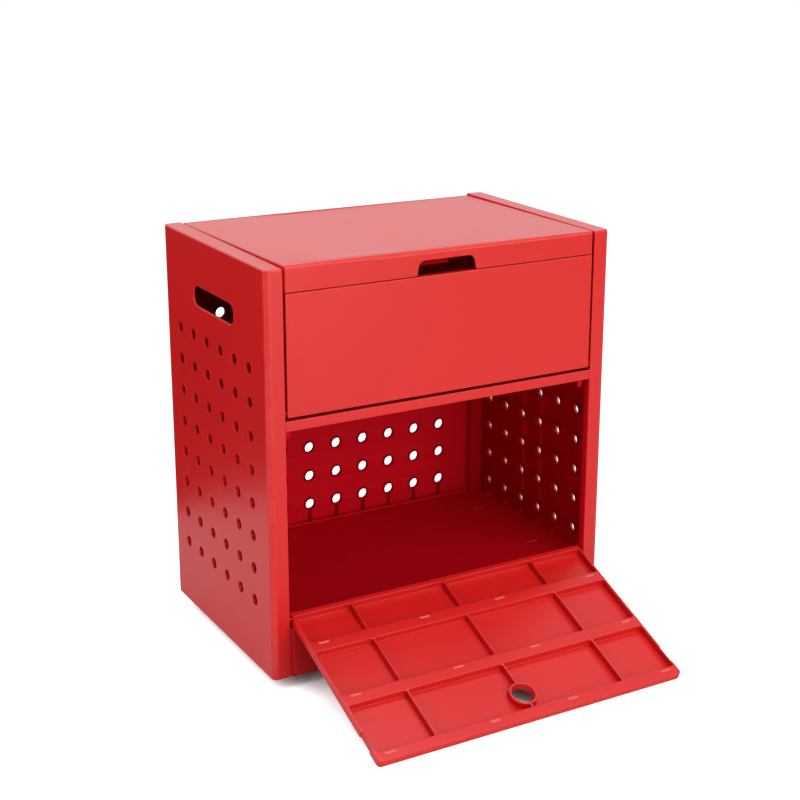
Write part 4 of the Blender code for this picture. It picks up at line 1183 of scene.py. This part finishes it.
def lower_door_moulding():
    """Skin with the finger hole, three rows of pockets, feeding marks and the notched side edges."""
    leaf = Moulding("lower_door_moulding")
    leaf.face(LEAF_ORIGIN, ACROSS, LEAF_UP, LEAF_BACK)
    outer, inner = leaf_shell(leaf, LOWER_HALF, LOWER_LENGTH, VISIBLE_ROUND, FREE_CORNER, NOTCH)
    bays = bay_edges(LOWER_HALF, [-RIB_SPACING, 0, RIB_SPACING])
    rows = list(zip((HINGE_RIM, *BAND_ENDS), (*BAND_STARTS, LOWER_LENGTH - FREE_RIM)))
    rims = []
    for column, (left, right) in enumerate(bays):
        for row, (foot, head) in enumerate(rows):
            corners, radius = rectangle(left, right, foot, head), POCKET_CORNER
            if row == 2 and column == 2:
                corners, radius = bay_round_boss(right, foot, head)
            if row == 2 and column == 1:
                corners, radius = mirrored_bay(*bay_round_boss(-left, foot, head))
            rims.append(door_pocket(leaf, corners, radius))
    leaf.pale_and_painted_shade = 1.0
    for band in (*BAND_STARTS, LOWER_LENGTH - FREE_RIM):
        for x in GATE_X:
            gate = centred(*GATE_HALF) + (x, band + GATE_FROM_BAND)
            foot = DOOR_THICKNESS - GATE_DEPTH
            rims.append(leaf.pocket(gate, GATE_CORNER, DOOR_THICKNESS, foot, GATE_EDGE, GATE_EDGE))
    leaf.pale_and_painted_shade = 0.0
    inset, rise = rounding(FINGER_EDGE)
    bore = circles((0, FINGER_V), FINGER_RADIUS + np.concatenate([inset, inset[::-1]]), FINGER_SIDES)
    leaf.band(bore, np.concatenate([rise, DOOR_THICKNESS - rise[::-1]]), edge_strips(EDGE_STEPS, EDGE_STEPS))
    leaf.flat(outer, 0, [bore[0]])
    leaf.flat(inner, DOOR_THICKNESS, rims + [bore[-1]])
    return leaf


dress(lower_door_moulding().make(), "lower_door", "shell_red", door_red, "lower_door")


# %% [markdown]
# ## Feet and hinge pins
# Four round rubber feet press into the bosses of the base. They are turned shapes with a soft lower edge.
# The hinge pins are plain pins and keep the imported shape; they only get a finish.

# %% Feet
FOOT_RADII = (0.0094, 0.0104, 0.0110, 0.0110, 0.0106, 0.0098, 0.0041, 0.0040, 0.0040, 0.0033)
FOOT_SHARES = (0.0, 0.04, 0.13, 0.82, 0.94, 0.985, 0.985, 1.05, 2.80, 2.88)
FOOT_SIDES = 40

for word_x, x in (("left", -FOOT_X), ("right", FOOT_X)):
    for word_y, y in zip(("front", "rear"), FOOT_YS):
        foot = Moulding("rubber_foot_" + word_y + "_" + word_x)
        foot.face((x, y, 0), ACROSS, BACKWARD, UP)
        foot.turned(FOOT_RADII, np.array(FOOT_SHARES) * SIDE_FOOT, FOOT_SIDES)
        dress(foot.make(), "cabinet", "foot_grey", foot_rubber, "foot_" + word_y + "_" + word_x)

# %% Pins
pin_red = red_plastic("plain_red_pin", gloss=0.42)
for name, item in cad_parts.items():
    if "_pin_" in name:
        for place in item.material_slots:
            place.material = pin_red
print("pin finish:", pin_red.name)


# %% [markdown]
# ## Floor, light and background
# The photograph was taken in a white studio: a broad soft light from above and in front, white all round,
# and hardly any shadow. A large pale floor catches the soft shadow, and where something low hangs over it
# a painted shadow takes away its glow. The world is white to the camera and to reflections, and dimmer as a
# light, so that the red keeps its depth.

# %% The floor
FLOOR_HALF = 6.0
FLOOR_GREY = (0.82, 0.82, 0.82, 1)
FLOOR_LIFT = 0.93
UNDER_REACH = 0.25
UNDER_SHADE = (0.12, 0.30)
UNDER_SAMPLES = 8
WHITE = (1, 1, 1, 1)


def pale_floor():
    """Diffuse pale grey that also glows for the camera alone, so that it meets the white world. It doesn't
    glow where something low hangs over it, a painted shadow that keeps what is seen under the door dark."""
    finish, nodes = new_finish("pale_floor")
    nodes.remove(nodes["Principled BSDF"])
    seen = node(nodes, "LightPath").outputs["Is Camera Ray"]
    open_sky = node(nodes, "AmbientOcclusion", in_Distance=UNDER_REACH, samples=UNDER_SAMPLES).outputs["AO"]
    # painted shadow: the camera glow fades where the floor is closed in from above
    lift = maths(nodes, "MULTIPLY", seen, ramp(nodes, open_sky, *UNDER_SHADE, 0.0, 1.0))
    strength = maths(nodes, "MULTIPLY", lift, FLOOR_LIFT)
    glow = node(nodes, "Emission", in_Color=WHITE, in_Strength=strength)
    both = node(nodes, "AddShader")
    plug(both.inputs[0], node(nodes, "BsdfDiffuse", in_Color=FLOOR_GREY).outputs["BSDF"])
    plug(both.inputs[1], glow.outputs["Emission"])
    plug(nodes["Material Output"].inputs["Surface"], both.outputs["Shader"])
    return finish


def studio_sheet(name, corners, height, finish):
    """A single flat face of the studio, level, at this height."""
    mesh = bpy.data.meshes.new(name)
    mesh.from_pydata(np.column_stack([corners, np.full(4, height)]), [], [(0, 1, 2, 3)])
    mesh.materials.append(finish)
    return add_object(name, mesh)


studio_floor = studio_sheet("studio_floor", centred(FLOOR_HALF, FLOOR_HALF), 0.0, pale_floor())


# %% World and lamps
WORLD_LEVEL = 0.12
MIDDLE = (0, 0, 0.25)
WARM_WHITE = (1, 0.95, 0.84)
PLAIN_WHITE = (1, 1, 1)
LAMPS = (("front_box", (0.1, -2.7, 0.9), 1.8, 39.5, WARM_WHITE),
         ("right_box", (1.7, -2.0, 1.5), 1.4, 13, WARM_WHITE),
         ("high_box", (0.2, -1.6, 2.6), 1.4, 8, WARM_WHITE),
         ("top_box", (0, 0.2, 2.6), 1.6, 28, PLAIN_WHITE),
         ("left_box", (-2.6, -0.1, 1.2), 1.4, 28, PLAIN_WHITE))


def white_world():
    """White behind the object and in reflections, a dimmer white as a light."""
    world = bpy.data.worlds.new("white_studio")
    bpy.context.scene.world = world
    world.use_nodes = True
    nodes = world.node_tree.nodes
    seen = node(nodes, "LightPath").outputs
    view = maths(nodes, "MAXIMUM", seen["Is Camera Ray"], seen["Is Glossy Ray"])
    view = maths(nodes, "MAXIMUM", view, seen["Is Transmission Ray"])
    plug(nodes["Background"].inputs["Strength"], ramp(nodes, view, 0.0, 1.0, WORLD_LEVEL, 1.0))
    nodes["Background"].inputs["Color"].default_value = WHITE


def soft_box(name, place, size, power, colour):
    """A square area lamp that looks at the middle of the cabinet."""
    lamp = bpy.data.lights.new(name, "AREA")
    lamp.size = size
    lamp.energy = power
    lamp.color = colour
    item = add_object(name, lamp)
    item.location = place
    item.rotation_euler = (Vector(MIDDLE) - Vector(place)).to_track_quat("-Z", "Y").to_euler()


white_world()
for lamp in LAMPS:
    soft_box(*lamp)
print("lamps:", len(LAMPS))


# %% [markdown]
# ## The dark card
# At its grazing angle the left side mirrors the floor behind the cabinet. In the photograph the white table
# ends there, so the side is pale only near its foot and deep red above. A matt black card on the floor
# does the same: only reflections see it, so it gives no shadow and doesn't show.

# %% A black card for the reflections
CARD_START = 0.51
CARD_RIGHT = -0.25
CARD_REACH = 4.0
CARD_LIFT = 0.001
CARD_BLACK = (0.004, 0.004, 0.004, 1)


def matt_black():
    """Almost black, without any gloss."""
    finish, nodes = new_finish("matt_black_card")
    skin = nodes["Principled BSDF"].inputs
    skin["Base Color"].default_value = CARD_BLACK
    skin["Specular IOR Level"].default_value = 0
    return finish


card_corners = rectangle(-CARD_REACH, CARD_RIGHT, CARD_START, CARD_REACH)
card = studio_sheet("dark_card", card_corners, CARD_LIFT, matt_black())
card.visible_camera = False
card.visible_diffuse = False
card.visible_shadow = False


# %% [markdown]
# ## The camera
# The camera stands where the photograph was taken from. Its place and its turn come from matching the peg
# holes and the edges of the panels, and a small shift keeps the uprights in the photograph's frame.

# %% Camera
CAMERA_PLACE = (-0.855, FRONT_Y - 1.4118, 0.8312)
YAW = 0.528290
PITCH = 0.291933
ROLL = 0.004787
IMAGE_SIDE = 800
FOCAL_PIXELS = 1568.42
SENSOR = 36.0
PRINCIPAL = (421.965, 371.662)


def camera_directions(yaw, pitch, roll):
    """Right, up and forward of a camera turned from +Y towards +X, tipped down, and rolled."""
    level = np.array([math.cos(yaw), -math.sin(yaw), 0])
    forward = np.array([math.sin(yaw) * math.cos(pitch), math.cos(yaw) * math.cos(pitch), -math.sin(pitch)])
    upright = np.cross(level, forward)
    right = math.cos(roll) * level + math.sin(roll) * upright
    up = math.cos(roll) * upright - math.sin(roll) * level
    return right, up, forward


lens = bpy.data.cameras.new("studio_camera")
lens.sensor_width = SENSOR
lens.lens = FOCAL_PIXELS / IMAGE_SIDE * SENSOR
lens.shift_x = 0.5 - PRINCIPAL[0] / IMAGE_SIDE
lens.shift_y = PRINCIPAL[1] / IMAGE_SIDE - 0.5
camera = add_object("studio_camera", lens)
right, up, forward = camera_directions(YAW, PITCH, ROLL)
turned = np.eye(4)
turned[:3, :3] = np.stack([right, up, -forward], axis=1)
turned[:3, 3] = CAMERA_PLACE
camera.matrix_world = Matrix(turned.tolist())
bpy.context.scene.camera = camera
bpy.context.scene.view_settings.view_transform = "Standard"
print("lens", round(lens.lens, 2), "mm")
